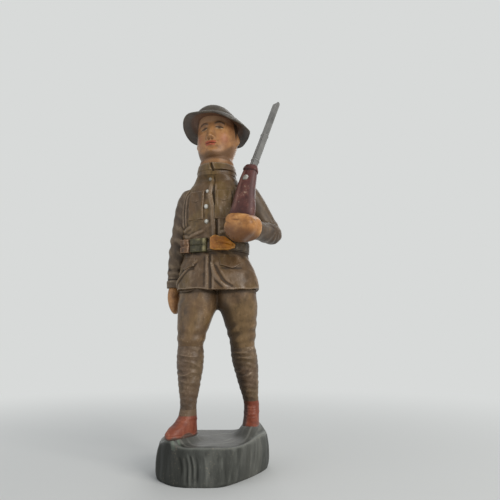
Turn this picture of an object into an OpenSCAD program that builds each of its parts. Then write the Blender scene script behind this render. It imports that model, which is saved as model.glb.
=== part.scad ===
// Painted composition toy soldier, marching with a sloped rifle.
// Pressed pieces of sawdust-and-glue paste are joined by iron wires that stand in a thick base.
// The figure faces -Y, its left hand is on +X, and the origin is the middle of the base's underside.

/* [Base] */
// Width of the base from side to side
base_w = 21.8; // [20.8:0.2:26]
// Depth of the base from front to back
base_d = 19.2; // [18.6:0.2:24]
// Height of the base under the right boot
base_h = 6.2; // [5.6:0.1:9]
// Height of the mounds that the boots stand on
mound_h = 0.9; // [0.4:0.1:1.6]
// Width of a mound's foot around its boot
mound_w = 0.8; // [0.4:0.1:1.2]
// Depth of the ripples in the sides of the base
ripple_t = 0.2; // [0:0.02:0.3]

/* [Boots] */
// Height of a boot from sole to puttee
boot_h = 4.6; // [4.2:0.1:5.4]
// Length of a boot from heel to toe
boot_l = 7.4; // [6.8:0.1:8]
// Width of a boot at the ball of the foot
boot_w = 3.2; // [3:0.1:3.6]
// Angle that the right boot turns out
toe_out = 24; // [0:1:28]
// Angle that the left boot's heel is lifted
heel_lift = 7; // [0:1:12]

/* [Legs] */
// Height of the right puttee from boot to knee
puttee_h = 11.6; // [10.5:0.1:13.5]
// Height of the breeches from knee to tunic hem
breeches_h = 10.4; // [9:0.1:12]
// Width of a leg at the ankle
ankle_w = 3; // [2.7:0.1:3.4]
// Width of a leg at the calf
calf_w = 5.1; // [4.6:0.1:5.7]
// Width of one leg of the breeches at the crotch
thigh_w = 7.7; // [7:0.1:8.2]
// Distance between the ankles from side to side
step_w = 11.8; // [10.4:0.1:12.4]
// Distance between the ankles from front to back
step_l = 8; // [6.5:0.1:8.4]
// Number of turns of a puttee
wraps = 7; // [5:1:9]
// Height of a puttee's wrapped edges
wrap_t = 0.24; // [0:0.02:0.34]

/* [Tunic] */
// Height of the tunic from hem to collar
tunic_h = 23.3; // [22:0.1:25]
// Width of the tunic at the chest
chest_w = 13.8; // [13:0.1:14.6]
// Depth of the tunic at the chest
chest_d = 9.4; // [8.8:0.1:10.2]
// Width of the skirt at the hem
hem_w = 16.2; // [15.2:0.1:17]
// Angle that the body turns to its right
turn = 14; // [8:1:17]
// Depth of the folds in the skirt
fold_t = 0.22; // [0:0.02:0.34]
// Height of the breast pockets
pocket_h = 6.2; // [5:0.1:7]
// Height of the flaps of the skirt pockets
flap_h = 2.2; // [1.6:0.1:2.4]
// Thickness of the pockets and flaps
pocket_t = 0.34; // [0.2:0.02:0.5]
// Diameter of a tunic button
button_d = 1; // [0.8:0.05:1.3]
// Number of tunic buttons
buttons = 4; // [3:1:5]

/* [Collar] */
// Height of the collar
collar_h = 2.5; // [2.1:0.1:2.7]
// Thickness of the collar's standing band
collar_t = 0.6; // [0.5:0.05:0.8]
// Spread of the collar's turned-down fall
fall_w = 0.55; // [0.4:0.05:0.8]

/* [Belt] */
// Height of the belt band
belt_h = 2.2; // [1.8:0.1:2.6]
// Thickness of the belt band
belt_t = 0.34; // [0.24:0.02:0.5]
// Height of the pouches
pouch_h = 3.1; // [2.8:0.1:3.3]
// Thickness of the pouches
pouch_t = 1; // [0.7:0.05:1.2]
// Thickness of the buckle plate
buckle_t = 0.5; // [0.3:0.05:0.7]

/* [Head] */
// Diameter of the neck
neck_d = 6.4; // [6:0.1:6.8]
// Depth that the neck is plugged into the tunic
neck_seat = 2.2; // [1.6:0.1:2.8]
// Height from the tunic's collar seat to the chin
chin_h = 3; // [2.8:0.1:3.4]
// Height of the face from chin to the helmet's bowl
face_h = 10.8; // [10.2:0.1:11.4]
// Width of the face
face_w = 8.4; // [7.8:0.1:8.8]
// Depth of the head from face to back
face_d = 9; // [8.4:0.1:9.4]
// Angle that the head is tipped back
head_tilt = 11; // [4:1:14]
// Angle that the head leans to its right
head_side = 3; // [0:0.5:5]
// Height of the nose on the face
nose_t = 0.8; // [0.5:0.05:1]

/* [Helmet] */
// Width across the helmet's brim
brim_w = 14.2; // [13.2:0.1:15.2]
// Width of the helmet's bowl
bowl_w = 10.1; // [9.8:0.1:10.6]
// Height of the helmet from brim edge to crown
helmet_h = 4.8; // [4.5:0.1:5.3]
// Drop of the brim from bowl to edge
brim_drop = 1.9; // [1.4:0.1:2.3]
// Thickness of the helmet
helmet_t = 0.6; // [0.45:0.05:0.8]
// Angle that the helmet leans to the figure's left on its head
helmet_side = 8; // [5:0.5:9]

/* [Arms] */
// Width of a sleeve at the shoulder
shoulder_w = 4.7; // [4.3:0.1:5.1]
// Width of a sleeve at the cuff
cuff_w = 3.5; // [3.2:0.1:3.9]
// Length of the right sleeve
sleeve_l = 20.4; // [19:0.1:21.4]
// Length of the right hand below its cuff
hand_l = 5.2; // [4.6:0.1:6]
// Reach of the left elbow out from the shoulder
elbow_out = 4.7; // [4.2:0.1:5.2]
// Drop of the left elbow below the shoulder
elbow_drop = 7.9; // [7.3:0.1:8.4]
// Reach of the left fist in front of the elbow
fist_reach = 10.4; // [9.8:0.1:11]
// Width of the left fist
fist_w = 6.2; // [5.8:0.1:6.6]

/* [Rifle] */
// Length of the stock from butt to barrel
stock_l = 14.8; // [13.6:0.1:16]
// Width of the butt
butt_w = 4.9; // [4.4:0.1:5.3]
// Thickness of the butt
butt_t = 2.6; // [2.3:0.1:2.9]
// Length of the barrel in front of the stock
barrel_l = 10; // [8:0.1:12]
// Width of the barrel
barrel_w = 1.35; // [1.25:0.05:1.6]
// Length of the bayonet in front of the barrel
bayonet_l = 12.4; // [10:0.1:15]
// Width of the bayonet
bayonet_w = 1.15; // [0.9:0.05:1.2]
// Thickness of the bayonet
bayonet_t = 0.5; // [0.35:0.05:0.6]
// Length of the tangs in stock and barrel
tang_l = 3; // [2:0.1:4]
// Angle that the rifle leans back
rifle_lean = 30; // [28:0.5:33]
// Angle that the rifle leans outwards
rifle_side = 9; // [6.5:0.5:11]

/* [Wires] */
// Diameter of the iron wires
wire_d = 0.9; // [0.7:0.05:1]
// Depth that the leg wires stand in the base
wire_seat = 4.4; // [3:0.1:5]

/* [Hidden] */

khaki = "#5c4a35";
puttee_brown = "#57493a";
tan_skin = "#8a5a30";
boot_orange = "#8a3a22";
base_grey = "#4b4c48";
helmet_brown = "#4c453e";
stock_maroon = "#43201f";
strap_olive = "#39372a";
pouch_ochre = "#8a5418";
button_silver = "#9a978f";
barrel_grey = "#6d6c69";
iron = "#4a4642";

// How far a cut runs past the face that it opens
overrun = 0.5;

// Basic functions

function unit(v) = v / norm(v);
function mix(a, b, t) = a + (b - a) * t;
function power(x, e) = sign(x) * pow(abs(x), e);
function bump(x, place, width) = exp(-pow((x - place) / width, 2));
function turned(p, angle) =
    [p.x * cos(angle) - p.y * sin(angle), p.x * sin(angle) + p.y * cos(angle), p.z];
function leaned(p, angle) =
    [p.x, p.y * cos(angle) - p.z * sin(angle), p.y * sin(angle) + p.z * cos(angle)];

// Smooth reading of a table whose rows start with their place, from low to high
function row_before(table, x) =
    min(len(table) - 2, max(0, len([for (r = table) if (r[0] <= x) 1]) - 1));
function slope(table, i) =
    let(a = table[max(0, i - 1)], b = table[min(len(table) - 1, i + 1)]) (b - a) / (b[0] - a[0]);
function at(table, x) =
    let(
        i = row_before(table, x),
        a = table[i],
        b = table[i + 1],
        w = b[0] - a[0],
        t = (x - a[0]) / w
    )
    (2 * t * t * t - 3 * t * t + 1) * a + (t * t * t - 2 * t * t + t) * w * slope(table, i)
    + (3 * t * t - 2 * t * t * t) * b + (t * t * t - t * t) * w * slope(table, i + 1);

// Oval ring round a centre c and square to d, with half-width a along r and half-width b across it
function ring(c, d, r, a, b, e, n, relief = [0]) =
    let(v = unit(cross(d, r)), u = cross(v, unit(d)))
    [for (i = [0 : n - 1])
        let(q = 360 * i / n, t = relief[i % len(relief)])
        c + u * (a + t) * power(cos(q), 2 / e) + v * (b + t) * power(sin(q), 2 / e)];

// Middle of a closed ring
function middle(points) = [for (p = points) 1] * points / len(points);

// Two triangles between neighbouring points of two rows
function quad(low, low_next, high, high_next) =
    [[low, high, high_next], [low, high_next, low_next]];

// Solid through closed rings of equally many points, from the first ring to the last
module loft(rings) {
    n = len(rings[0]);
    last = len(rings) - 1;
    count = n * len(rings);
    polyhedron(
        points = concat([for (r = rings) each r], [middle(rings[0]), middle(rings[last])]),
        faces = concat(
            [for (i = [0 : n - 1]) [count, i, (i + 1) % n]],
            [for (j = [0 : last - 1], i = [0 : n - 1])
                let(k = (i + 1) % n)
                each quad(j * n + i, j * n + k, (j + 1) * n + i, (j + 1) * n + k)],
            [for (i = [0 : n - 1]) [count + 1, last * n + (i + 1) % n, last * n + i]]
        )
    );
}

// Solid between an outer and an inner sheet of rows and columns, open or closed all round
module sheet(outer, inner, closed = false) {
    n = len(outer[0]);
    m = len(outer);
    o = n * m;
    last = closed ? n - 1 : n - 2;
    polyhedron(
        points = concat([for (r = outer) each r], [for (r = inner) each r]),
        faces = concat(
            [for (j = [0 : m - 2], i = [0 : last])
                let(k = (i + 1) % n, l = j * n, h = l + n)
                each concat(
                    [[l + i, h + i, h + k], [l + i, h + k, l + k]],
                    [[o + l + i, o + h + k, o + h + i], [o + l + i, o + l + k, o + h + k]]
                )],
            [for (i = [0 : last])
                let(k = (i + 1) % n, h = (m - 1) * n)
                each [
                    [i, k, o + k], [i, o + k, o + i],
                    [h + i, o + h + k, h + k], [h + i, o + h + i, o + h + k]
                ]],
            closed ? [] : [for (j = [0 : m - 2])
                let(l = j * n, h = l + n, e = n - 1)
                each [
                    [o + l, o + h, h], [o + l, h, l],
                    [l + e, h + e, o + h + e], [l + e, o + h + e, o + l + e]
                ]]
        )
    );
}

// Round bar from one point to another
module bar(from, to, d) {
    way = to - from;
    translate(from)
        rotate([0, acos(way.z / norm(way)), atan2(way.y, way.x)])
            cylinder(d = d, h = norm(way), $fn = 32);
}

// Bent wire through a few points
module wire(points) {
    last = len(points) - 1;
    loft([for (i = [0 : last])
        let(way = points[min(last, i + 1)] - points[max(0, i - 1)])
        ring(points[i], way, [1, 0, 0], wire_d / 2, wire_d / 2, 2, 16)]);
}

// Places that the pieces share

// Middle of the stride and place of the hips, as shares of the base's width and depth
stride_share = [0.052, 0.081];
hip_share = [0.0134, 0.0234];
// Sideways lean of the body and forward set of its neck, as shares of the chest
lean_share = -0.045;
neck_share = 0.03;

knee_z = base_h + mound_h + boot_h + puttee_h;
hem_z = knee_z + breeches_h;
stride = [base_w * stride_share.x, base_d * stride_share.y, 0];
right_sole = stride + [-step_w / 2, -step_l / 2, base_h + mound_h];
left_sole = stride + [step_w / 2, step_l / 2, base_h + mound_h];
hip = [base_w * hip_share.x, base_d * hip_share.y, hem_z];
right_boot_turn = -(turn + toe_out);
left_boot_turn = -turn / 2;
right_ankle = right_sole + [0, 0, boot_h];
left_axis = turned(leaned([0, 0, 1], heel_lift), left_boot_turn);
left_ankle = left_sole + left_axis * boot_h;

// Knees, as shares of the way from ankle to hip
knee_share = [[0.02, 0.32], [0.27, 0.62]];
right_knee = [mix(right_ankle.x, hip.x, knee_share[0].x), mix(right_ankle.y, hip.y, knee_share[0].y), knee_z];
left_knee = [mix(left_ankle.x, hip.x, knee_share[1].x), mix(left_ankle.y, hip.y, knee_share[1].y), knee_z];

// The trunk's own frame stands on the hips and turns with the body
module in_trunk() {
    translate(hip) rotate([0, 0, -turn]) children();
}

neck_r = neck_d / 2;
neck_axis = [chest_w * lean_share, chest_d * neck_share, 0];
seat_r = neck_r + collar_t + fall_w / 2;

// Base

base_cols = 72;
// Rows of the base: height as a share of base_h, then spread as a share of the plan
base_row_shares = [[0, 0.97], [0.12, 0.99], [0.35, 1], [0.7, 1], [0.9, 0.985], [0.97, 0.965]];
shoulder_share = 0.94;
// Facets of the plan: angle they face, then distance at the bottom and at the top, as shares of the half-sizes
facet_shares = [
    [-90, 0.975, 0.86], [-36, 0.73, 0.83], [-23, 0.745, 0.755], [0, 1.01, 0.985], [41, 1.2, 1.16],
    [90, 1, 0.97], [138, 1.2, 1.14], [180, 0.985, 0.95], [218, 1.045, 0.985]
];
// How sharply the facets meet
corner = 12;

function base_reach(q, s) =
    pow([for (f = facet_shares) 1] * [for (f = facet_shares)
        pow(max(0, cos(q - f[0])) / mix(f[1], f[2], s), corner)], -1 / corner);
function base_ripple(q, s) =
    ripple_t * (cos(q * 23 + 60 * s) + cos(q * 11 - 90 * s)) / 2 * sin(180 * min(1, s));
function base_ring(s, reach) =
    [for (i = [0 : base_cols - 1])
        let(q = 360 * i / base_cols, k = base_reach(q, s) * reach)
        [(base_w / 2 * k + base_ripple(q, s)) * cos(q), (base_d / 2 * k + base_ripple(q, s)) * sin(q), base_h * s]];

// Factor that draws a point back to the base's shoulder where it would stand out past it
function kept_in(p) =
    let(u = p.x * 2 / base_w, v = p.y * 2 / base_d)
    min(1, shoulder_share * base_reach(atan2(v, u), 1) / norm([u, v]));

// Mound from the base's top to a boot's sole, whose outline it has
module mound(sole, lift, angle) {
    steps_share = [[-0.4, 1.1], [0.15, 0.75], [0.6, 0.25], [0.9, 0.06], [1, 0]];
    loft([for (m = steps_share)
        [for (b = boot_ring(0, base_cols / 2, mound_w * m[1]))
            let(p = sole + turned(leaned(b, lift), angle), k = m[0] < 1 ? kept_in(p) : 1)
            [p.x * k, p.y * k, mix(base_h, p.z, m[0])]]]);
}

module base() {
    color(base_grey)
        difference() {
            union() {
                loft(concat(
                    [[for (p = base_ring(0, base_row_shares[0][1])) p - [0, 0, overrun]]],
                    [for (r = base_row_shares) base_ring(r[0], r[1])],
                    [base_ring(1, shoulder_share)]
                ));
                mound(right_sole, 0, right_boot_turn);
                mound(left_sole, heel_lift, left_boot_turn);
            }
            translate([-base_w, -base_d, -overrun * 2]) cube([base_w * 2, base_d * 2, overrun * 2]);
            right_leg_wire_form();
            left_leg_wire_form();
        }
}

// Boots

boot_cols = 22;
// Rows of a boot: height, reach to the toe, reach to the heel and half-width, as shares of its size
boot_row_shares = [
    [0, 0.7, 0.28, 0.94], [0.1, 0.72, 0.29, 1], [0.2, 0.7, 0.285, 0.99], [0.36, 0.6, 0.27, 0.97],
    [0.52, 0.42, 0.25, 0.94], [0.7, 0.28, 0.235, 0.93]
];
boot_rows = concat(
    [for (s = boot_row_shares) [s[0] * boot_h, s[1] * boot_l, s[2] * boot_l, s[3] * boot_w / 2]],
    [[boot_h, ankle_w / 2, ankle_w / 2, ankle_w / 2]]
);

// A boot's ring at height z in the boot's own frame, with its toe on -Y
function boot_ring(z, n, margin = 0) =
    let(r = at(boot_rows, z))
    [for (i = [0 : n - 1])
        let(q = 360 * i / n, ball = 1 - 0.1 * (1 - z / boot_h) * sin(q))
        [
            (r[3] + margin) * ball * power(cos(q), 0.9),
            (r[2] - r[1]) / 2 + ((r[1] + r[2]) / 2 + margin) * power(sin(q), 0.9),
            z
        ]];

module boot() {
    steps = 10;
    loft([for (j = [0 : steps]) boot_ring(boot_h * j / steps, boot_cols)]);
}

module right_boot() {
    color(boot_orange)
        difference() {
            translate(right_sole) rotate([0, 0, right_boot_turn]) boot();
            right_leg_wire_form();
        }
}

module left_boot() {
    color(boot_orange)
        difference() {
            translate(left_sole) rotate([heel_lift, 0, left_boot_turn]) boot();
            left_leg_wire_form();
        }
}

// Puttees

puttee_cols = 20;
rows_per_wrap = 5;
// Rows of a puttee: place, half-width and half-depth as shares of calf_w / 2, set back as a share of calf_w
puttee_row_shares = [
    [0, 0.6, 0.6, 0], [0.14, 0.64, 0.66, 0.01], [0.35, 0.77, 0.82, 0.04], [0.6, 0.93, 0.99, 0.08],
    [0.78, 1, 1.03, 0.07], [0.9, 0.98, 0.98, 0.03], [1, 0.94, 0.95, 0]
];

function wrap_edge(s, q) =
    let(p = s * wraps + q / 360, f = p - floor(p)) wrap_t * (f < 0.75 ? f / 0.75 : (1 - f) / 0.25);
function puttee_rings(ankle, axis, knee, side) =
    let(steps = wraps * rows_per_wrap)
    [for (j = [0 : steps])
        let(
            s = j / steps,
            r = at(puttee_row_shares, s),
            a = mix(ankle_w / 2, r[1] * calf_w / 2, min(1, s * 4)),
            b = mix(ankle_w / 2, r[2] * calf_w / 2, min(1, s * 4)),
            fade = min(1, 8 * s, 8 * (1 - s)),
            d = unit(mix(axis, [0, 0, 1], min(1, 2 * s)))
        )
        ring(
            mix(ankle, knee, s) + [0, calf_w * r[3], 0], d, [1, 0, 0], a, b, 2, puttee_cols,
            [for (i = [0 : puttee_cols - 1]) fade * wrap_edge(s, side * 360 * i / puttee_cols)]
        )];

module right_puttee() {
    color(puttee_brown)
        difference() {
            loft(puttee_rings(right_ankle, [0, 0, 1], right_knee, 1));
            right_leg_wire_form();
        }
}

module left_puttee() {
    color(puttee_brown)
        difference() {
            loft(puttee_rings(left_ankle, left_axis, left_knee, -1));
            left_leg_wire_form();
        }
}

// Breeches

breeches_cols = 28;
breeches_steps = 14;
// Rows of one leg: place, way from knee to hip, half-width and half-depth as shares of thigh_w / 2
breeches_row_shares = [
    [0, 0, 0.64, 0.66], [0.08, 0.04, 0.66, 0.7], [0.3, 0.26, 0.77, 0.82],
    [0.62, 0.8, 0.98, 1.02], [0.8, 0.96, 1.05, 1.1], [1, 1, 1.07, 1.12]
];

function breeches_rings(knee, side) =
    let(top = hip + [side * 0.985 * thigh_w / 2, 0, 0])
    [for (j = [0 : breeches_steps])
        let(s = j / breeches_steps, r = at(breeches_row_shares, s), c = mix(knee, top, r[1]))
        ring(
            [c.x, c.y, mix(knee.z, top.z, s)], [0, 0, 1], [1, 0, 0],
            r[2] * thigh_w / 2, r[3] * thigh_w / 2, 2.1, breeches_cols
        )];

module breeches() {
    color(khaki)
        difference() {
            union() {
                loft(breeches_rings(right_knee, -1));
                loft(breeches_rings(left_knee, 1));
            }
            right_leg_wire_form();
            left_leg_wire_form();
        }
}

// Tunic, drawn in the trunk's frame

tunic_cols = 48;
front_col = tunic_cols * 3 / 4;
// Rows: height, half-width, half-depth, share of the skirt's flare and share of the sideways lean
tunic_row_shares = [
    [0, 1, 1.18, 1, 0], [0.1, 0.995, 1.14, 0.9, 0.15], [0.21, 0.985, 1.04, 0.4, 0.6], [0.3, 0.955, 0.95, 0, 0.95],
    [0.4, 0.955, 0.93, 0, 1], [0.5, 0.98, 0.97, 0, 1], [0.615, 1, 1, 0, 1], [0.73, 1, 0.98, 0, 1],
    [0.827, 0.95, 0.91, 0, 1], [0.9, 0.82, 0.84, 0, 1], [0.95, 0.7, 0.74, 0, 1]
];
tunic_rows = concat(
    [for (s = tunic_row_shares) [
        s[0] * tunic_h, s[1] * chest_w / 2 + s[3] * (hem_w - chest_w) / 2, s[2] * chest_d / 2, s[4], s[3]
    ]],
    [[tunic_h, seat_r, seat_r, 1, 0]]
);

// Heights where pieces on the tunic begin and end
belt_z = tunic_h * 0.366;
belt_low = belt_z - belt_h / 2;
belt_high = belt_z + belt_h / 2;
flap_high = belt_low - tunic_h * 0.04;
flap_low = flap_high - flap_h;
pocket_high = tunic_h * 0.856;
pocket_low = pocket_high - pocket_h;
pocket_fold = pocket_high - pocket_h / 3;

function between(low, high, steps) = [for (i = [0 : steps - 1]) mix(low, high, i / steps)];
skirt_heights = between(0, flap_low, 5);
flap_heights = between(flap_low, flap_high, 3);
belt_heights = between(belt_low, belt_high, 2);
pocket_heights = between(pocket_low, pocket_fold, 4);
fold_heights = between(pocket_fold, pocket_high, 2);
tunic_heights = concat(
    skirt_heights, flap_heights, [flap_high], belt_heights, between(belt_high, pocket_low, 3),
    pocket_heights, fold_heights, between(pocket_high, tunic_h, 5), [tunic_h]
);

// Point of the tunic's surface at a column and a height, moved outwards by out
function skin(col, z, out = 0) =
    let(
        r = at(tunic_rows, z),
        q = 360 * col / tunic_cols,
        t = out + fold_t * r[4] * (cos(5 * q + 20) + cos(9 * q)) / 2
    )
    [
        neck_axis.x * r[3] + (r[1] + t) * power(cos(q), 0.92),
        neck_axis.y * r[3] + (r[2] + t) * power(sin(q), 0.92),
        z
    ];
function skin_row(first, last, z, out) = [for (c = [first : last]) skin(c, z, out)];

module tunic_form() {
    loft([for (z = tunic_heights) skin_row(0, tunic_cols - 1, z, 0)]);
}

module tunic() {
    color(khaki)
        difference() {
            in_trunk() tunic_form();
            in_trunk() neck_form();
            right_leg_wire_form();
            left_leg_wire_form();
            in_trunk() arm_wire_form();
            in_trunk() neck_wire_form();
        }
}

// Slab on the tunic, with its edges drawn down to a share of its thickness
module patch(first, last, heights, under, t, crest = []) {
    end = len(heights) - 1;
    sheet(
        [for (j = [0 : end])
            [for (c = [first : last])
                let(edge = c == first || c == last || j == 0 || j == end, pleat = len(search(c, crest)) > 0)
                skin(c, heights[j], under + t * (edge ? 0.5 : pleat ? 1.5 : 1))]],
        [for (z = heights) skin_row(first, last, z, under)]
    );
}

module breast_pockets() {
    heights = concat(pocket_heights, fold_heights, [pocket_high]);
    color(khaki)
        in_trunk() {
            patch(front_col - 5, front_col - 1, heights, 0, pocket_t, [front_col - 3]);
            patch(front_col + 1, front_col + 5, heights, 0, pocket_t, [front_col + 3]);
        }
}

module skirt_pocket_flaps() {
    heights = concat(flap_heights, [flap_high]);
    color(khaki)
        in_trunk() {
            patch(front_col - 8, front_col - 3, heights, 0, pocket_t);
            patch(front_col + 2, front_col + 7, heights, 0, pocket_t);
        }
}

module tunic_buttons() {
    color(button_silver)
        in_trunk()
            for (i = [0 : buttons - 1]) {
                z = tunic_h * mix(0.575, 0.96, i / (buttons - 1));
                difference() {
                    translate(skin(front_col - 0.5, z)) sphere(d = button_d, $fn = 32);
                    loft([for (h = [-1, 0, 1])
                        concat(
                            skin_row(front_col - 2, front_col + 1, z + h * button_d, 0),
                            skin_row(front_col + 1, front_col + 1, z + h * button_d, -button_d),
                            skin_row(front_col - 2, front_col - 2, z + h * button_d, -button_d)
                        )]);
                }
            }
}

// Belt and its fittings

band_heights = concat(belt_heights, [belt_high]);
band_rows = [for (z = band_heights) skin_row(0, tunic_cols - 1, z, belt_t)];

module belt() {
    color(strap_olive)
        in_trunk()
            sheet(band_rows, [for (z = band_heights) skin_row(0, tunic_cols - 1, z, 0)], closed = true);
}

// Tunic with its belt, which the sleeves and the rifle lie against
module body_form() {
    tunic_form();
    loft(band_rows);
}

pouch_margin = (pouch_h - belt_h) / 2;
pouch_heights = concat([belt_low - pouch_margin * 0.4], belt_heights, [belt_high, belt_high + pouch_margin * 1.6]);

module belt_buckle() {
    color(strap_olive) in_trunk() patch(front_col - 4, front_col - 1, band_heights, belt_t, buckle_t);
}

module left_pouch() {
    color(pouch_ochre) in_trunk() patch(front_col, front_col + 5, pouch_heights, belt_t, pouch_t);
}

module right_pouch() {
    color(pouch_ochre) in_trunk() patch(front_col - 8, front_col - 5, pouch_heights, belt_t, pouch_t);
}

// Collar

module collar() {
    cols = 36;
    // Rows: height as a share of collar_h, then outward spread as a share of the fall
    fall_shares = [[0, 0.3], [0.12, 0.9], [0.35, 1], [0.7, 0.55], [0.92, 0.15], [1, 0]];
    color(khaki)
        in_trunk()
            difference() {
                translate(neck_axis + [0, 0, tunic_h])
                    loft([for (s = fall_shares)
                        [for (i = [0 : cols - 1])
                            let(
                                q = 360 * i / cols,
                                open = bump(q, 270, 12) * (1 - s[0]) * 0.9,
                                r = neck_r + collar_t + fall_w * s[1] * (1 - open)
                            )
                            [r * cos(q), r * sin(q), collar_h * s[0]]]]);
                translate([0, 0, overrun]) neck_form();
            }
}

// Head, drawn in a frame at the chin's height that tips back with it

module in_head() {
    in_trunk() translate(neck_axis + [0, 0, tunic_h + chin_h]) rotate([-head_tilt, -head_side, 0]) children();
}

// Neck plug, drawn in the trunk's frame
module neck_form() {
    translate(neck_axis + [0, 0, tunic_h - neck_seat])
        cylinder(d = neck_d, h = neck_seat + chin_h + face_h / 4, $fn = 48);
}

head_cols = 36;
head_steps = 20;
// Rows: height, half-width, reach to the front and reach to the back, as shares of the face's size
head_row_shares = [
    [0, 0.34, 0.42, 0.02], [0.04, 0.55, 0.475, 0.16], [0.12, 0.76, 0.5, 0.32], [0.25, 0.9, 0.505, 0.42],
    [0.42, 0.98, 0.49, 0.48], [0.6, 1, 0.48, 0.51], [0.8, 0.99, 0.475, 0.5], [1, 0.95, 0.465, 0.48]
];

// Relief of the face: nose, eye hollows, brows, lips, chin and ears, as shares of the nose's height
function face_relief(q, s) =
    let(x = abs(q - 270))
    nose_t * (
        bump(x, 0, 9) * (bump(s, 0.4, 0.07) + 0.55 * bump(s, 0.53, 0.12))
        - 0.4 * bump(x, 24, 10) * bump(s, 0.62, 0.05)
        + 0.25 * bump(x, 24, 16) * bump(s, 0.72, 0.05)
        + 0.3 * bump(x, 0, 14) * bump(s, 0.25, 0.035)
        + 0.3 * bump(x, 0, 18) * bump(s, 0.08, 0.06)
        + 0.7 * (bump(q, 0, 7) + bump(q, 180, 7) + bump(q, 360, 7)) * bump(s, 0.55, 0.12)
    );

function head_ring(s) =
    let(
        r = at(head_row_shares, s),
        limit = s > 0.9 ? bowl_r - helmet_t * 1.1 : bowl_r,
        side = min(limit, r[1] * face_w / 2),
        front = min(limit, r[2] * face_d),
        back = min(limit, r[3] * face_d)
    )
    [for (i = [0 : head_cols - 1])
        let(q = 360 * i / head_cols, t = face_relief(q, s))
        [
            (side + t) * power(cos(q), 0.95),
            (back - front) / 2 + ((front + back) / 2 + t) * power(sin(q), 0.95),
            face_h * s
        ]];

module head() {
    color(tan_skin)
        difference() {
            union() {
                in_head() loft([for (j = [0 : head_steps]) head_ring(j / head_steps)]);
                skull_form();
                in_trunk() neck_form();
            }
            in_trunk() neck_wire_form();
        }
}

// Helmet, a bowl with a dropped brim

bowl_r = bowl_w / 2;
brim_r = brim_w / 2;
rim_z = face_h * 0.955;
helmet_arc = 9;

// Half-outline of the bowl from its rim to the crown, drawn in by t
function bowl_outline(t, first = 0) =
    [for (i = [first : helmet_arc])
        let(q = 90 * i / helmet_arc)
        [(bowl_r - t) * pow(cos(q), 0.85), (helmet_h - brim_drop - t) * pow(sin(q), 0.95)]];
function brim_outline(t) =
    [for (u = [1, 0.75, 0.5, 0.25]) [mix(bowl_r, brim_r, u), -brim_drop * pow(u, 1.3) - t]];

// Frame in the middle of the helmet's rim, which leans on the head
module in_helmet() {
    in_head() translate([0, 0, rim_z]) rotate([0, helmet_side, 0]) children();
}

module helmet() {
    color(helmet_brown)
        in_helmet()
            rotate_extrude($fn = 64)
                polygon(concat(
                    brim_outline(0),
                    [for (p = bowl_outline(0)) [max(0, p.x), p.y]],
                    [for (i = [helmet_arc : -1 : 0]) let(p = bowl_outline(helmet_t)[i]) [max(0, p.x), p.y]],
                    [for (i = [3 : -1 : 0]) brim_outline(helmet_t)[i]]
                ));
}

// Top of the skull, which fills the helmet's bowl
module skull_form() {
    in_helmet()
        rotate_extrude($fn = 64)
            polygon(concat([[0, 0]], [for (p = bowl_outline(helmet_t)) [max(0, p.x), p.y]]));
}

// Arms, drawn in the trunk's frame

sleeve_cols = 20;
arm_z = tunic_h * 0.827;

// Right sleeve: place along it, out and back as shares of the chest, then half-width and half-depth
right_sleeve_shares = [
    [0, 0.76, 0, 0.35, 0.4], [0.03, 0.82, 0, 0.75, 0.8], [0.08, 0.88, 0, 0.95, 0.96],
    [0.18, 0.98, 0, 1, 1], [0.4, 1.11, 0.02, 0.98, 0.98], [0.6, 1.23, 0.05, 0.95, 0.95],
    [0.8, 1.31, 0.08, 0.92, 0.9], [1, 1.345, 0.1, 0.9, 0.86]
];
right_sleeve_top = tunic_h * 0.918;

function right_sleeve_place(s) =
    let(r = at(right_sleeve_shares, s))
    [-r[1] * chest_w / 2, r[2] * chest_d, right_sleeve_top - sleeve_l * s];
function right_sleeve_ring(s) =
    let(
        r = at(right_sleeve_shares, s),
        w = mix(shoulder_w, cuff_w / 0.88, s) / 2
    )
    ring(right_sleeve_place(s), [0, 0, -1], [1, 0, 0], w * r[3], w * r[4], 2.2, sleeve_cols);

module right_sleeve() {
    steps = 20;
    color(khaki)
        in_trunk()
            difference() {
                loft([for (j = [0 : steps]) right_sleeve_ring(pow(j / steps, 1.3))]);
                body_form();
                arm_wire_form();
            }
}

module right_hand() {
    // Rows: place along the hand, then half-width and half-depth as shares of the cuff
    shares = [[0, 0.62, 0.74, 0], [0.25, 0.72, 0.88, 0], [0.5, 0.7, 0.94, 0.02], [0.75, 0.56, 0.82, 0.05],
        [0.93, 0.34, 0.55, 0.08], [1, 0.14, 0.25, 0.09]];
    steps = 12;
    start = right_sleeve_place(1) - [cuff_w * 0.1, 0, 0];
    color(tan_skin)
        in_trunk()
            loft([for (j = [0 : steps])
                let(s = j / steps, r = at(shares, s))
                ring(
                    start + [cuff_w * r[3], 0, -hand_l * s], [0, 0, -1], [1, 0, 0],
                    r[1] * cuff_w / 2, r[2] * cuff_w / 2, 2.3, 20
                )]);
}

left_shoulder = [chest_w * 0.4, chest_d * 0.01, tunic_h * 0.85];
elbow_back = chest_d * 0.28;
left_elbow = left_shoulder + [elbow_out, elbow_back, -elbow_drop];
left_fist = left_elbow + [-elbow_out * 0.54, -fist_reach, -elbow_drop * 0.12];
left_wrist = mix(left_fist, left_elbow, fist_w * 0.46 / norm(left_elbow - left_fist));

// Half-widths along the upper arm and along the forearm, as shares of the sleeve's width there
upper_arm_shares = [
    [-0.14, 0.5], [-0.08, 0.84], [0.06, 1.07], [0.25, 1.1], [0.5, 1.04], [0.9, 0.96], [1.1, 0.84], [1.19, 0.55],
    [1.22, 0.2]
];
forearm_shares = [[-0.17, 0.25], [-0.14, 0.62], [-0.05, 0.9], [0.2, 1], [0.6, 0.98], [1, 1]];

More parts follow.
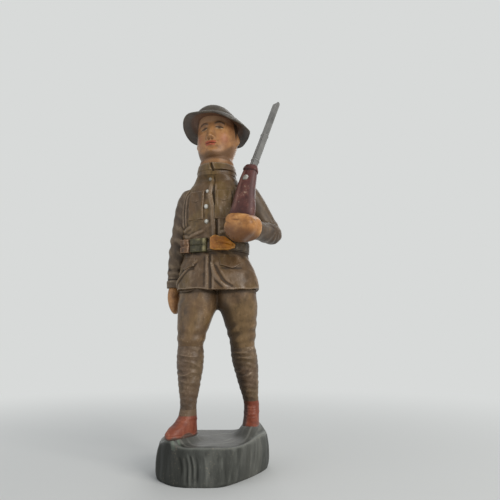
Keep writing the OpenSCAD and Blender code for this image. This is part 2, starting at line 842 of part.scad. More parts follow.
module arm_loft(from, to, table, w_from, w_to, steps) {
    first = table[0][0];
    last = table[len(table) - 1][0];
    loft([for (j = [0 : steps])
        let(s = mix(first, last, (1 - cos(180 * j / steps)) / 2), w = mix(w_from, w_to, s) / 2 * at(table, s)[1])
        ring(mix(from, to, s), to - from, [1, 0, 0], w, w, 2.1, sleeve_cols)]);
}

module left_sleeve() {
    elbow_w = mix(shoulder_w, cuff_w, 0.4);
    color(khaki)
        in_trunk()
            difference() {
                union() {
                    arm_loft(left_shoulder, left_elbow, upper_arm_shares, shoulder_w, elbow_w, 14);
                    arm_loft(left_elbow, left_wrist, forearm_shares, elbow_w, cuff_w, 12);
                }
                body_form();
                in_rifle() stock_form();
                arm_wire_form();
            }
}

module left_hand() {
    // Rows: place from wrist to knuckles, then half-width and half-height as shares of fist_w / 2
    shares = [[0, 0.5, 0.48], [0.12, 0.62, 0.58], [0.3, 0.86, 0.8], [0.55, 1, 0.93], [0.8, 0.96, 0.88],
        [0.94, 0.74, 0.68], [1, 0.42, 0.4]];
    steps = 14;
    way = unit(left_fist - left_wrist);
    color(tan_skin)
        in_trunk()
            difference() {
                loft([for (j = [0 : steps])
                    let(s = j / steps, r = at(shares, s))
                    ring(
                        left_wrist + way * fist_w * 0.9 * s, way, [1, 0, 0],
                        r[1] * fist_w / 2, r[2] * fist_w / 2, 2.3, 28
                    )]);
                in_rifle() stock_form();
            }
}

// Rifle, drawn in its own frame: the butt's end at the origin, the muzzle on +Z and the front on -Y

// Butt's end in the fist, as shares of the fist's width
grip_share = [-0.2, -0.02, 0.22];
module in_rifle() {
    translate(left_fist + fist_w * grip_share) rotate([-rifle_lean, rifle_side, 0]) children();
}

// Rows: place along the stock, half-width, half-thickness and sideways set, as shares of the butt
stock_row_shares = [
    [0, 0.9, 0.86, 0.02], [0.06, 0.98, 0.98, 0.02], [0.2, 0.97, 1, 0], [0.45, 0.82, 0.98, -0.13],
    [0.62, 0.74, 0.92, -0.2], [0.8, 0.65, 0.84, -0.25], [0.93, 0.54, 0.74, -0.265], [1, 0.4, 0.6, -0.26]
];

module stock_form() {
    steps = 14;
    loft([for (j = [0 : steps])
        let(s = j / steps, r = at(stock_row_shares, s))
        ring(
            [r[3] * butt_w, 0, stock_l * s], [0, 0, 1], [1, 0, 0],
            r[1] * butt_w / 2, r[2] * butt_t / 2, 2.6, 20
        )]);
}

module rifle_stock() {
    color(stock_maroon)
        in_trunk()
            difference() {
                in_rifle() stock_form();
                tunic_form();
                in_rifle() barrel_form();
            }
}

barrel_x = butt_w * -0.24;

// Barrel with its tang in the stock
module barrel_form() {
    translate([barrel_x, 0, stock_l - tang_l]) cylinder(d = barrel_w, h = tang_l + barrel_l, $fn = 32);
}

module barrel() {
    color(barrel_grey)
        in_trunk()
            in_rifle()
                difference() {
                    barrel_form();
                    bayonet_form();
                }
}

// Flat blade with its tang in the barrel and a slanted point
module bayonet_form() {
    low = stock_l + barrel_l - tang_l;
    high = stock_l + barrel_l + bayonet_l;
    translate([barrel_x, bayonet_t / 2, 0])
        rotate([90, 0, 0])
            linear_extrude(bayonet_t)
                polygon([
                    [-bayonet_w / 2, low], [bayonet_w / 2, low], [bayonet_w / 2, high - bayonet_w],
                    [bayonet_w / 4, high], [-bayonet_w / 2, high - bayonet_w * 1.6]
                ]);
}

module bayonet() {
    color(barrel_grey) in_trunk() in_rifle() bayonet_form();
}

module trigger_plate() {
    color(button_silver)
        in_trunk()
            in_rifle()
                difference() {
                    translate([-0.25 * butt_w, -butt_t * 0.3, stock_l * 0.78])
                        scale([1, 1, 1.4]) sphere(d = butt_t * 0.55, $fn = 32);
                    stock_form();
                }
}

// Wires

module right_leg_wire_form() {
    wire([
        right_sole - [0, 0, wire_seat], right_ankle, right_knee,
        mix(right_knee, hip, 1.3) - [chest_w * 0.2, 0, 0]
    ]);
}

module left_leg_wire_form() {
    wire([
        left_sole - [0, 0, wire_seat], left_sole, left_ankle, left_knee,
        mix(left_knee, hip, 1.3) + [chest_w * 0.2, 0, 0]
    ]);
}

module arm_wire_form() {
    bar([-chest_w * 0.44, 0, arm_z], [chest_w * 0.44, 0, arm_z], wire_d);
}

module neck_wire_form() {
    low = arm_z + wire_d;
    translate(neck_axis + [0, 0, low])
        cylinder(d = wire_d, h = tunic_h + chin_h + face_h / 2 - low, $fn = 32);
}

module right_leg_wire() {
    color(iron) right_leg_wire_form();
}

module left_leg_wire() {
    color(iron) left_leg_wire_form();
}

module arm_wire() {
    color(iron) in_trunk() arm_wire_form();
}

module neck_wire() {
    color(iron) in_trunk() neck_wire_form();
}

base();
right_leg_wire();
left_leg_wire();
arm_wire();
neck_wire();
right_boot();
left_boot();
right_puttee();
left_puttee();
breeches();
tunic();
collar();
breast_pockets();
skirt_pocket_flaps();
tunic_buttons();
belt();
belt_buckle();
left_pouch();
right_pouch();
right_sleeve();
left_sleeve();
right_hand();
left_hand();
head();
helmet();
rifle_stock();
trigger_plate();
barrel();
bayonet();
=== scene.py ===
# Painted composition toy soldier, marching with a sloped rifle on a thick grey base.
# Shapes are worked out in millimetres; the figure faces -Y and its left hand is on +X.
from math import radians

import bpy
import numpy as np
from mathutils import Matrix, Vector


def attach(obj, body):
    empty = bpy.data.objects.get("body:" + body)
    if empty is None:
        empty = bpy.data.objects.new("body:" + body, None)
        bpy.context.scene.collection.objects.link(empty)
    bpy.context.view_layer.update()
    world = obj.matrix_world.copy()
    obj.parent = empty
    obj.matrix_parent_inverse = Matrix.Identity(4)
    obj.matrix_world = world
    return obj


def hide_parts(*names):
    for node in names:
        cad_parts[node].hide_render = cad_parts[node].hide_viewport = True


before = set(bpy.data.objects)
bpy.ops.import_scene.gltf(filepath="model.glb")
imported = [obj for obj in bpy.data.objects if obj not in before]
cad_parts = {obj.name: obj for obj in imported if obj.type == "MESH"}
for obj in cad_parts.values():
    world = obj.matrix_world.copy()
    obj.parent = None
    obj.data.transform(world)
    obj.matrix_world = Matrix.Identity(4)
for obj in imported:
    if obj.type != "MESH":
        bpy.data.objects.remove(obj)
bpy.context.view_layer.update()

# Camera
# It stands close in front of the figure at the height of its knees and looks a little upwards.


def placed(name, data):
    """A new object of the scene that holds the data."""
    thing = bpy.data.objects.new(name, data)
    bpy.context.scene.collection.objects.link(thing)
    return thing


camera = placed("camera", bpy.data.cameras.new("camera"))
camera.location = (0.00665, -0.09675, 0.025)
camera.rotation_euler = (radians(100), 0, 0)
camera.data.lens = 35.3
camera.data.clip_start = 0.001
bpy.context.scene.camera = camera

# Base
# A thick block of pressed sawdust paste, brushed with grey paint and pared by hand at its front on the +X
# side. Soft mounds of the same paste rise to the boots, and the sides keep the wavy marks of the press.
base_w, base_d, base_h, mound_h = 21.8, 19.2, 6.2, 0.9
base_facets = [[-90, 0.975, 0.86], [-36, 0.73, 0.83], [-23, 0.745, 0.755], [0, 1.01, 0.985], [41, 1.2, 1.16],
    [90, 1, 0.97], [138, 1.2, 1.14], [180, 0.985, 0.95], [218, 1.045, 0.985]]


def cosd(q):
    """Cosine of an angle in degrees."""
    return np.cos(np.radians(q))


def sind(q):
    """Sine of an angle in degrees."""
    return np.sin(np.radians(q))


def power(x, e):
    """A number's size raised to e, with its sign kept."""
    return np.sign(x) * np.abs(x) ** e


def mix(a, b, t):
    """The point that lies the share t of the way from a to b."""
    return a + (b - a) * t


def bump(x, place, width):
    """A round hill of height 1 over place, which has fallen to a third at width."""
    return np.exp(-(((x - place) / width) ** 2))


def rise(x, low, high):
    """A smooth step from 0 at low to 1 at high."""
    t = np.clip((x - low) / (high - low), 0, 1)
    return t * t * (3 - 2 * t)


def at(table, x):
    """Smooth reading of a table whose rows start with their place: a cubic through its rows."""
    table = np.asarray(table, float)
    x = np.asarray(x, float)
    i = np.clip(np.searchsorted(table[:, 0], x, side="right") - 1, 0, len(table) - 2)
    low = np.maximum(np.arange(len(table)) - 1, 0)
    high = np.minimum(np.arange(len(table)) + 1, len(table) - 1)
    slope = (table[high] - table[low]) / (table[high, :1] - table[low, :1])
    a, b = table[i], table[i + 1]
    w = b[..., :1] - a[..., :1]
    t = (x[..., None] - a[..., :1]) / w
    return ((2 * t**3 - 3 * t**2 + 1) * a + (t**3 - 2 * t**2 + t) * w * slope[i]
        + (3 * t**2 - 2 * t**3) * b + (t**3 - t**2) * w * slope[i + 1])


def spun(p, a, b, angle):
    """Points turned by an angle in the plane of two axes, from axis a towards axis b."""
    p = np.array(p, float)
    c, n = cosd(angle), sind(angle)
    p[..., a], p[..., b] = p[..., a] * c - p[..., b] * n, p[..., a] * n + p[..., b] * c
    return p


def around(columns):
    """Angles in degrees for the columns of a closed ring."""
    return np.arange(columns)[None] * 360 / columns


def steps(low, high, rows):
    """Even steps from low to high, one for each row."""
    return np.linspace(low, high, rows)[:, None]


def xyz(x, y, z):
    """Points from three coordinates, which are spread over rows and columns where they don't change."""
    return np.stack(np.broadcast_arrays(x, y, z), axis=-1)


def hollows(grid, depth, across=2, along=2):
    """How far a point stands proud of its four neighbours along the surface's normal, over depth, -1 to 1."""
    j = np.arange(len(grid))
    up, down = np.minimum(j + along, len(grid) - 1), np.maximum(j - along, 0)
    left, right = np.roll(grid, across, axis=1), np.roll(grid, -across, axis=1)
    normal = np.cross(right - left, grid[up] - grid[down])
    normal /= np.linalg.norm(normal, axis=-1, keepdims=True) + 1e-9
    proud = grid - (grid[up] + grid[down] + left + right) / 4
    inside = ((j >= along) & (j < len(grid) - along))[:, None]
    return np.clip((proud * normal).sum(axis=-1) / depth, -1, 1) * inside


mm = 0.001


def write_mark(mesh, key, values):
    """Writes one number for each point of a mesh as its attribute."""
    mesh.attributes.new(key, "FLOAT", "POINT").data.foreach_set("value", values.ravel().astype(np.float32))


def skin_mesh(grids, **marks):
    """One mesh over grids of closed rings: four neighbouring points make a face, and a fan from the middle of
    the first and last ring closes the ends. Each mark, a list over the grids, becomes an attribute."""
    points, faces, values, start = [], [], {key: [] for key in marks}, 0
    for k, grid in enumerate(grids):
        m, n = grid.shape[:2]
        i = np.arange(m * n).reshape(m, n) + start
        j = np.roll(i, -1, axis=1)
        low, high = np.full(n, start + m * n), np.full(n, start + m * n + 1)
        points += [grid.reshape(-1, 3), grid[[0, -1]].mean(axis=1)]
        faces += np.stack([i[:-1], j[:-1], j[1:], i[1:]], axis=-1).reshape(-1, 4).tolist()
        faces += np.stack([low, j[0], i[0]], axis=-1).tolist()
        faces += np.stack([high, i[-1], j[-1]], axis=-1).tolist()
        for key in marks:
            mark = np.broadcast_to(marks[key][k], (m, n))
            values[key] += [mark.ravel(), mark[[0, -1]].mean(axis=1)]
        start += m * n + 2
    mesh = bpy.data.meshes.new("skin")
    mesh.from_pydata(np.concatenate(points) * mm, [], faces)
    for key in marks:
        write_mark(mesh, key, np.concatenate(values[key]))
    mesh.shade_smooth()
    return mesh


def skinned(grid, relief, **marks):
    """The mesh over a single grid, with its relief held between -1 and 1."""
    return skin_mesh([grid], relief=[np.clip(relief, -1, 1)], **{key: [marks[key]] for key in marks})


def piece(node, ending, mesh, material):
    """Puts a mesh into the scene as a piece that stands for a node of the solid model."""
    mesh.name = node
    mesh.materials.clear()
    mesh.materials.append(material)
    thing = placed(node + "_" + ending, mesh)
    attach(thing, "root")
    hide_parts(node)


def linear(code):
    """A colour written as six hexadecimal digits, as the shader's linear red, green, blue and alpha."""
    c = np.array([int(code[k:k + 2], 16) / 255 for k in (0, 2, 4)])
    c = np.where(c <= 0.04045, c / 12.92, ((c + 0.055) / 1.055) ** 2.4)
    return (*c.tolist(), 1)


class Coat:
    """A socket of a paint's nodes. Sums, differences and products of coats and numbers add Math nodes."""

    def __init__(self, tree, socket=None):
        self.tree = tree
        self.socket = socket

    def node(self, kind, settings, values, out=0):
        """Adds a node: first its settings, then the values or links of its sockets."""
        node = self.tree.nodes.new(kind)
        for key, value in settings.items():
            setattr(node, key, value)
        for key, value in values.items():
            if isinstance(value, Coat):
                value.into(node, key)
            else:
                node.inputs[key].default_value = value
        return Coat(self.tree, node.outputs[out])

    def into(self, node, key):
        """Leads this value into a socket of a node."""
        self.tree.links.new(self.socket, node.inputs[key])

    def maths(self, operation, first, second):
        return self.node("ShaderNodeMath", {"operation": operation}, {0: first, 1: second})

    def __add__(self, other):
        return self.maths("ADD", self, other)

    def __sub__(self, other):
        return self.maths("SUBTRACT", self, other)

    def __rsub__(self, other):
        return self.maths("SUBTRACT", other, self)

    def __mul__(self, other):
        return self.maths("MULTIPLY", self, other)

    __radd__ = __add__
    __rmul__ = __mul__

    def step(self, low, high):
        """A smooth step of this value from 0 at low to 1 at high."""
        smooth = {"interpolation_type": "SMOOTHSTEP"}
        return self.node("ShaderNodeMapRange", smooth, {0: self, 1: low, 2: high})

    def over(self, under, colour):
        """A colour laid over another one, as thick as this value."""
        return self.node("ShaderNodeMix", {"data_type": "RGBA"}, {0: self, 6: under, 7: colour}, 2)

    def noise(self, scale, detail, rough):
        """Clouds of noise, read at this place."""
        return self.node("ShaderNodeTexNoise", {},
            {"Vector": self, "Scale": scale, "Detail": detail, "Roughness": rough})

    def mark(self, name):
        """A mark of the mesh, by its attribute's name."""
        return self.node("ShaderNodeAttribute", {"attribute_name": name}, {}, "Fac")


def blank(name):
    """A new material, its shader, and the place on the object at which its nodes are read."""
    material = bpy.data.materials.new(name)
    material.use_nodes = True
    place = Coat(material.node_tree).node("ShaderNodeTexCoord", {}, {}, "Object")
    return material, material.node_tree.nodes["Principled BSDF"], place


def paint(name, tones, rough, wash_share, worn_share, layers=(), tall=1, grain=0.00007, chips=0.45,
        gloss=0.3):
    """Brushed paint on pressed paste. Its tones are two of the colour in clouds and brush marks, a dark one
    that lies in the hollows as dirt and painted shade, and a pale one on ridges as rubbed paint and painted
    highlight. Layers are painted over by marks, and small chips, specks of dirt and a fine uneven surface
    come last. tall scales the brush marks upwards."""
    material, shader, place = blank(name)
    shader.inputs["Specular IOR Level"].default_value = gloss
    colour, second, wash, worn, bare_paste, dirt_tone = map(linear, (*tones.split(), "b8a58c", "241c16"))
    along = place.node("ShaderNodeVectorMath", {"operation": "MULTIPLY"}, {0: place, 1: (1, 1, tall)})
    patches = place.noise(150, 3, 0.5)
    clouds = along.noise(380, 4, 0.6)
    marks = along.noise(1100, 5, 0.65)
    fine = place.noise(3400, 3, 0.6)
    relief = place.mark("relief")
    tone = patches.step(0.42, 0.58).over(colour, second)
    for drawn, low, high, share, laid in ((clouds, 0.5, 0.7, 0.5, worn), (clouds, 0.5, 0.3, 0.5, wash),
            (marks, 0.52, 0.72, 0.4, worn), (marks, 0.48, 0.28, 0.45, wash)):
        tone = (drawn.step(low, high) * share).over(tone, laid)
    # Ridges take the pale tone as rubbed paint and painted highlight, and hollows take the dark tone as dirt
    # and painted shade.
    ridge = (relief + marks * 0.6 - 0.3).step(0.08, 0.7)
    hollow = (relief * -1 + clouds * 0.5 - 0.25).step(0.04, 0.7)
    tone = (ridge * worn_share).over(tone, worn)
    for mark, layer, share in layers:
        tone = (place.mark(mark) * (0.8 + 0.35 * marks) * share).over(tone, linear(layer))
    tone = (hollow * wash_share).over(tone, wash)
    rubbed = (fine + clouds * 0.6 + relief * 0.1).step(0.98, 1.08) * chips
    tone = rubbed.over(tone, bare_paste)
    dirt = (fine * 0.5 + marks * 0.5).step(0.37, 0.3) * 0.6
    dirt.over(tone, dirt_tone).into(shader, "Base Color")
    dull = rough + clouds * 0.12 + marks * 0.16 + hollow * 0.2 - ridge * 0.12 - 0.13
    dull.into(shader, "Roughness")
    height = marks * 0.7 + fine * 0.3 + clouds * 0.9
    rough_skin = place.node("ShaderNodeBump", {}, {"Strength": 0.9, "Distance": grain, "Height": height})
    rough_skin.into(shader, "Normal")
    return material


def base_plan(q, s):
    """Reach of the base's outline at an angle: a rounded polygon whose facets lean from one distance at the
    bottom to another at the top, as shares of its half-width and half-depth."""
    near = [np.maximum(0, cosd(q - a)) / mix(low, high, s) for a, low, high in base_facets]
    return np.sum(np.array(near) ** 12, axis=0) ** (-1 / 12)


stride = np.array([base_w * 0.052, base_d * 0.081, 0])
step_w, step_l = 11.8, 8
right_sole = stride + [-step_w / 2, -step_l / 2, base_h + mound_h]
left_sole = stride + [step_w / 2, step_l / 2, base_h + mound_h]
turn, toe_out, heel_lift = 14, 24, 7
boot_h, boot_l, boot_w = 4.6, 7.4, 3.2


def mound(x, y, sole, angle, lift, fillet, soft):
    """Height of a mound: its crown under the boot's sole slopes away as a bell from the sole's outline, and a
    soft fillet climbs the boot's sides where the paste was smoothed against them."""
    p = spun(xyz(x - sole[0], y - sole[1], 0), 0, 1, -angle)
    across = p[..., 0] / (boot_w / 2)
    lengthwise = (p[..., 1] + 0.21 * boot_l) / (0.49 * boot_l)
    out = np.maximum(0, np.sqrt(across**2 + lengthwise**2) - 0.86) * boot_w / 2
    crown = mound_h + 0.04 + np.maximum(-1.2, p[..., 1]) * sind(lift)
    return crown * bump(out, 0, soft) + fillet * bump(out, 0, soft * 0.55)


q = around(420)
s = steps(0, 1, 60) ** 0.85
k = np.concatenate([s * 0 + 1, steps(1, 0.004, 91)[1:]])
s = np.concatenate([s, np.ones((90, 1))])
wall, flat = k > 0.999, s > 0.999
spread = at([[0, 0.97], [0.12, 0.99], [0.35, 1], [0.7, 1], [0.9, 0.985], [0.97, 0.965], [1, 0.94]], s)[..., 1]
reach = base_plan(q, s) * spread * k
x, y = base_w / 2 * reach * cosd(q), base_d / 2 * reach * sind(q)
scraped = bump(x, -3.6, 2.2) * (y < 0)
side = np.sin(np.pi * np.minimum(1, s * 0.98)) ** 0.6 * wall
gouge = (0.5 + 0.5 * np.cos(6.4 * x + 5 * s**2 + 0.9 * np.sin(2.1 * x + 2 * s) + 0.5 * np.sin(9 * s))) ** 1.4
gouge = gouge * scraped * side * rise(1 - s, 0.1, 0.3) * (0.75 + 0.25 * np.sin(3.1 * x + 8 * s))
wave = 0.1 * (np.cos(np.radians(q * 23) + s) + np.cos(np.radians(q * 11) - 1.6 * s)) * side
knife = 0.1 * bump(x, 4.6 + 0.8 * s, 0.5) * (y < 0) * side
push = 1 + (wave * (1 - 0.5 * scraped) - 0.14 * gouge + knife) / 10
uneven = 0.05 * np.cos(0.9 * x + 1.7 * np.sin(0.5 * y)) * (k < 0.97)
lift = np.maximum(mound(x, y, right_sole, -(turn + toe_out), 0, 0.1, 1.1),
    mound(x, y, left_sole, -turn / 2, heel_lift, 1.1, 1.7))
z = base_h * s - 0.12 * rise(k, 0.9, 1) * flat + uneven + lift * rise(s, 0.8, 1)
z = np.where(s < 0.02, 0, z)
grid = xyz(x * push, y * push, z)
# Painted shade darkens the -X side towards the front, below the top.
dark_side = rise(-x, 2.6, 6.4) * rise(-y, -1, 3) * (z < base_h + 0.3)
# rim paints the top edges lighter, partly as rubbed paint and partly as painted highlight, and the relief
# makes it stronger on the +X side.
rim = bump(s, 0.98, 0.03) * wall + 0.8 * bump(k, 0.99, 0.02) * flat
groove = bump(k, 0.93, 0.02) * flat * (y < 2)
relief = hollows(grid, 0.04) - 0.18 * gouge + 0.35 * rim * rise(x, -4, 2) - 0.15 * groove
# The top face is painted a little lighter, as painted light from above.
trodden = rise(0.985 - k, 0, 0.08)
# Light brush strokes over the top, and a painted highlight on the front of the +X side.
strokes = rise(np.sin(34 * k + 1.6 * sind(2 * q) + 1.3 * np.sin(0.8 * x)), 0.35, 0.95)
strokes = strokes * rise(0.97 - k, 0, 0.05) * rise(k, 0.25, 0.5)
strokes = strokes * (0.5 + 0.5 * np.sin(np.radians(3 * q) + 9 * k)) + 0.35 * rise(x, 3.5, 7) * (y < 0) * ~flat
glint = bump(x, -6.3, 0.9) * bump(y, -6.6, 0.7) * (z > base_h - 0.6) * rise(np.sin(5 * x + 3 * y), -0.2, 0.6)
grey_paint = paint("brushed_grey_paint", "4a4b47 40413d 20211e 6c6d67", 0.48, 0.75, 0.5,
    [("trodden", "504f4a", 0.75), ("strokes", "807f78", 0.6), ("dark_side", "262724", 0.75),
     ("rim", "7e807a", 0.4), ("glint", "8f9c8c", 0.6)], tall=0.2, grain=0.0001, chips=0.15, gloss=0.12)
mesh = skinned(grid, relief, trodden=trodden, strokes=strokes, dark_side=dark_side, rim=rim, glint=glint)
piece("base", "block", mesh, grey_paint)

# Wires
# Soft iron wires run from the base up both legs, across the shoulders and up the neck.
# They stay as the solid model has them and carry a thin brown rust.
iron, shader, place = blank("rusty_iron_wire")
rust = place.noise(1500, 4, 0.5).step(0.4, 0.62)
rust.over(linear("6d6a66"), linear("5a3a26")).into(shader, "Base Color")
(0.4 + rust * 0.4).into(shader, "Roughness")
(1 - rust).into(shader, "Metallic")
for wire in ("right_leg_wire", "left_leg_wire", "arm_wire", "neck_wire"):
    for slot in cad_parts[wire].material_slots:
        slot.material = iron

# Boots
# Ankle boots pressed with the legs and painted orange-red down to the mounds.
# The right one is turned out, and the left one's heel is lifted for the step.
ankle_w = 3
boot_shares = [[0, 0.7, 0.28, 0.94], [0.1, 0.72, 0.29, 1], [0.2, 0.7, 0.285, 0.99], [0.36, 0.6, 0.27, 0.97],
    [0.52, 0.42, 0.25, 0.94], [0.7, 0.28, 0.235, 0.93], [1, 0.203, 0.203, 0.9375]]


def boot(h, q, sole, lift, angle):
    """Rings from the sole up to the ankle: an oval between toe and heel, with a welt, a toe cap, laces over
    the instep and a slack fold round the ankle."""
    r = at(boot_shares, np.minimum(1, h))
    toe, heel, half = r[..., 1] * boot_l, r[..., 2] * boot_l, r[..., 3] * boot_w / 2
    ball = 1 - 0.1 * (1 - h) * sind(q)
    welt = 0.05 * bump(h, 0.06, 0.05) - 0.06 * bump(h, 0.14, 0.02)
    laces = 0.05 * bump(q, 270, 30) * np.cos(h * 60) * rise(h, 0.35, 0.5) * rise(1.02 - h, 0, 0.15)
    slack = 0.07 * bump(h, 0.66 + 0.05 * cosd(2 * q), 0.05)
    cap = -0.06 * bump(h, 0.3, 0.025) * bump(q, 270, 45)
    proud = welt + laces + slack + cap
    p = xyz((half + proud) * ball * power(cosd(q), 0.9),
        (heel - toe) / 2 + ((toe + heel) / 2 + proud) * power(sind(q), 0.9), boot_h * h)
    return sole + spun(spun(p, 1, 2, lift), 0, 1, angle)


red_paint = paint("orange_red_paint", "7c402d 6e3525 371b14 a06048", 0.42, 0.8, 0.5,
    [("wound", "66523e", 1), ("greyed", "4a4742", 0.8)], 0.5)
h, q = steps(0, 1.03, 72), around(120)
for name, sole, lift, angle, top in (("right_boot", right_sole, 0, -(turn + toe_out), 0.79),
        ("left_boot", left_sole, heel_lift, -turn / 2, 1.2)):
    grid = boot(h, q, sole, lift, angle)
    # The foot of both boots carries the base's grey paint, and the left boot's inner side gets painted shade
    # in the same grey and a darker relief.
    inner = rise(-cosd(q), 0.15, 0.6) * (lift > 0)
    greyed = rise(0.15 + 0.05 * cosd(3 * q) + 0.04 * cosd(7 * q) - h, 0, 0.09)
    mesh = skinned(grid, hollows(grid, 0.05, 2, 1) - 0.75 * inner, wound=rise(h, top - 0.02, top + 0.02),
        greyed=np.maximum(greyed, 0.8 * inner))
    piece(name, "pressed", mesh, red_paint)

# Puttees
# Strips of cloth wound from the ankle to below the knee, pressed as rounded folds that cross the shin.
# They carry the brown of the tunic with a greyer, rubbed tone on the folds.
puttee_h, breeches_h, calf_w, wraps, wrap_t = 11.6, 10.4, 5.1, 7, 0.24
puttee_shares = [[0, 0.6, 0.6, 0], [0.14, 0.64, 0.66, 0.01], [0.35, 0.77, 0.82, 0.04],
    [0.6, 0.93, 0.99, 0.08], [0.78, 1, 1.03, 0.07], [0.9, 0.98, 0.98, 0.03], [1, 0.94, 0.95, 0]]
upright = np.array([0, 0, 1.0])
knee_z = base_h + mound_h + boot_h + puttee_h
hip = np.array([base_w * 0.0134, base_d * 0.0234, knee_z + breeches_h])
right_ankle = right_sole + boot_h * upright
left_axis = spun(spun(upright, 1, 2, heel_lift), 0, 1, -turn / 2)
left_ankle = left_sole + left_axis * boot_h
right_knee = np.array([mix(right_ankle[0], hip[0], 0.02), mix(right_ankle[1], hip[1], 0.32), knee_z])
left_knee = np.array([mix(left_ankle[0], hip[0], 0.27), mix(left_ankle[1], hip[1], 0.62), knee_z])


def ring(c, d, a, b, e, q, out=0):
    """Oval rings round the centres c and square to the ways d, with the half-widths a and b, the oval's
    exponent e, and each point moved outwards by out."""
    d = d / np.linalg.norm(d, axis=-1, keepdims=True)
    v = np.cross(d, [1.0, 0, 0])
    v /= np.linalg.norm(v, axis=-1, keepdims=True)
    across = (a + out) * power(cosd(q), 2 / e)
    along = (b + out) * power(sind(q), 2 / e)
    return c + np.cross(v, d) * across[..., None] + v * along[..., None]


def puttee(s, q, ankle, axis, knee, side):
    """Rings up the shin: each wrap rises slowly and drops at its edge. The edges wave and sag, and they show
    more below the knee and on the front than round the ankle, where the press has flattened them."""
    r = at(puttee_shares, s)
    width, depth = (mix(ankle_w / 2, r[..., k] * calf_w / 2, np.minimum(1, s * 4)) for k in (1, 2))
    sag = 0.25 * sind(2 * q + 40) + 0.25 * np.sin(np.radians(3 * q) + s * 14) + 0.2 * np.sin(s * 23)
    wrap = (s * wraps + side * q / 360 + sag * 0.7) % 1
    edge = wrap_t * np.where(wrap < 0.6, (wrap / 0.6) ** 1.4, 1 - rise(wrap, 0.6, 1))
    shown = 0.35 + 0.65 * rise(s, 0.2, 0.55) * (0.55 + 0.45 * cosd(q - 285))
    shown = shown * (1 - 0.45 * cosd(q) ** 2) * (0.65 + 0.35 * np.cos(np.radians(q) * 2 + s * 19))
    edge = edge * shown + 0.03 * np.sin(s * 70 + np.radians(2 * q))
    edge = edge * np.minimum(1, np.minimum(8 * s, 8 * (1 - s)))
    way = mix(axis, upright, np.minimum(1, 2 * s)[..., None])
    centre = mix(ankle, knee, s[..., None]) + xyz(0, calf_w * r[..., 3], 0)
    return ring(centre, way, width, depth, 2, q, edge)


cloth_paint = paint("puttee_brown_paint", "635039 5c4938 30251b 86715c", 0.4, 0.75, 0.6,
    [("boot_top", "7a3e2c", 1)])
s, q = steps(0, 1, 210), around(120)
for name, ankle, axis, knee, side, painted_h, shaded in (
        ("right_puttee", right_ankle, upright, right_knee, 1, -1, 0.15),
        ("left_puttee", left_ankle, left_axis, left_knee, -1, 0.085, 0.75)):
    grid = puttee(s, q, ankle, axis, knee, side)
    relief = hollows(grid, 0.09, 3, 3) - shaded * rise(side * cosd(q), -0.2, 0.6)
    mesh = skinned(grid, relief, boot_top=rise(painted_h - s, 0, 0.012))
    piece(name, "wound", mesh, cloth_paint)

# Breeches
# Both thighs and the seat are one pressing under the tunic, smooth above and creased over the knees.
# The two legs run into each other at the crotch, which is darkened with painted shade.
thigh_w, hem_w, chest_d = 7.7, 16.2, 9.4
breeches_shares = [[-0.06, 0, 0.57, 0.585], [0, 0, 0.625, 0.64], [0.08, 0.04, 0.66, 0.7],
    [0.3, 0.26, 0.77, 0.82], [0.62, 0.8, 0.98, 1.02], [0.8, 0.96, 1.05, 1.1], [1, 1, 1.07, 1.12]]


def thigh(knee, side):
    """Rings from just inside the puttee up to the hem, whose middle leaves the knee and swings to the hip."""
    s = steps(-0.06, 1.03, 90)
    r = at(breeches_shares, np.minimum(1, s))
    top = hip + [side * 0.985 * thigh_w / 2, 0, 0]
    c = mix(knee, top, r[..., 1:2])
    c[..., 2] = mix(knee[2], top[2], s)
    return ring(c, upright, r[..., 2] * thigh_w / 2, r[..., 3] * thigh_w / 2, 2.1, around(120))


def pressed(grids, soft, folds):
    """Several closed skins run into one by remeshing, smoothed as often as soft says, and then pushed along
    their normals by a function of place that gives the folds. The folds are kept as the mark relief."""
    voxel = 0.13
    source = placed("skins", skin_mesh(grids))
    remesh = source.modifiers.new("run_together", "REMESH")
    remesh.mode = "VOXEL"
    remesh.voxel_size = voxel * mm
    smooth = source.modifiers.new("softened", "SMOOTH")
    smooth.iterations = soft
    mesh = bpy.data.meshes.new_from_object(source.evaluated_get(bpy.context.evaluated_depsgraph_get()))
    bpy.data.objects.remove(source)
    p, n = np.empty(len(mesh.vertices) * 3), np.empty(len(mesh.vertices) * 3)
    mesh.vertices.foreach_get("co", p)
    mesh.vertex_normals.foreach_get("vector", n)
    p, n = p.reshape(-1, 3) / mm, n.reshape(-1, 3)
    push, relief = folds(p, n)
    mesh.vertices.foreach_set("co", ((p + n * push[:, None]) * mm).ravel())
    write_mark(mesh, "relief", np.clip(relief, -1, 1))
    mesh.shade_smooth()
    return mesh


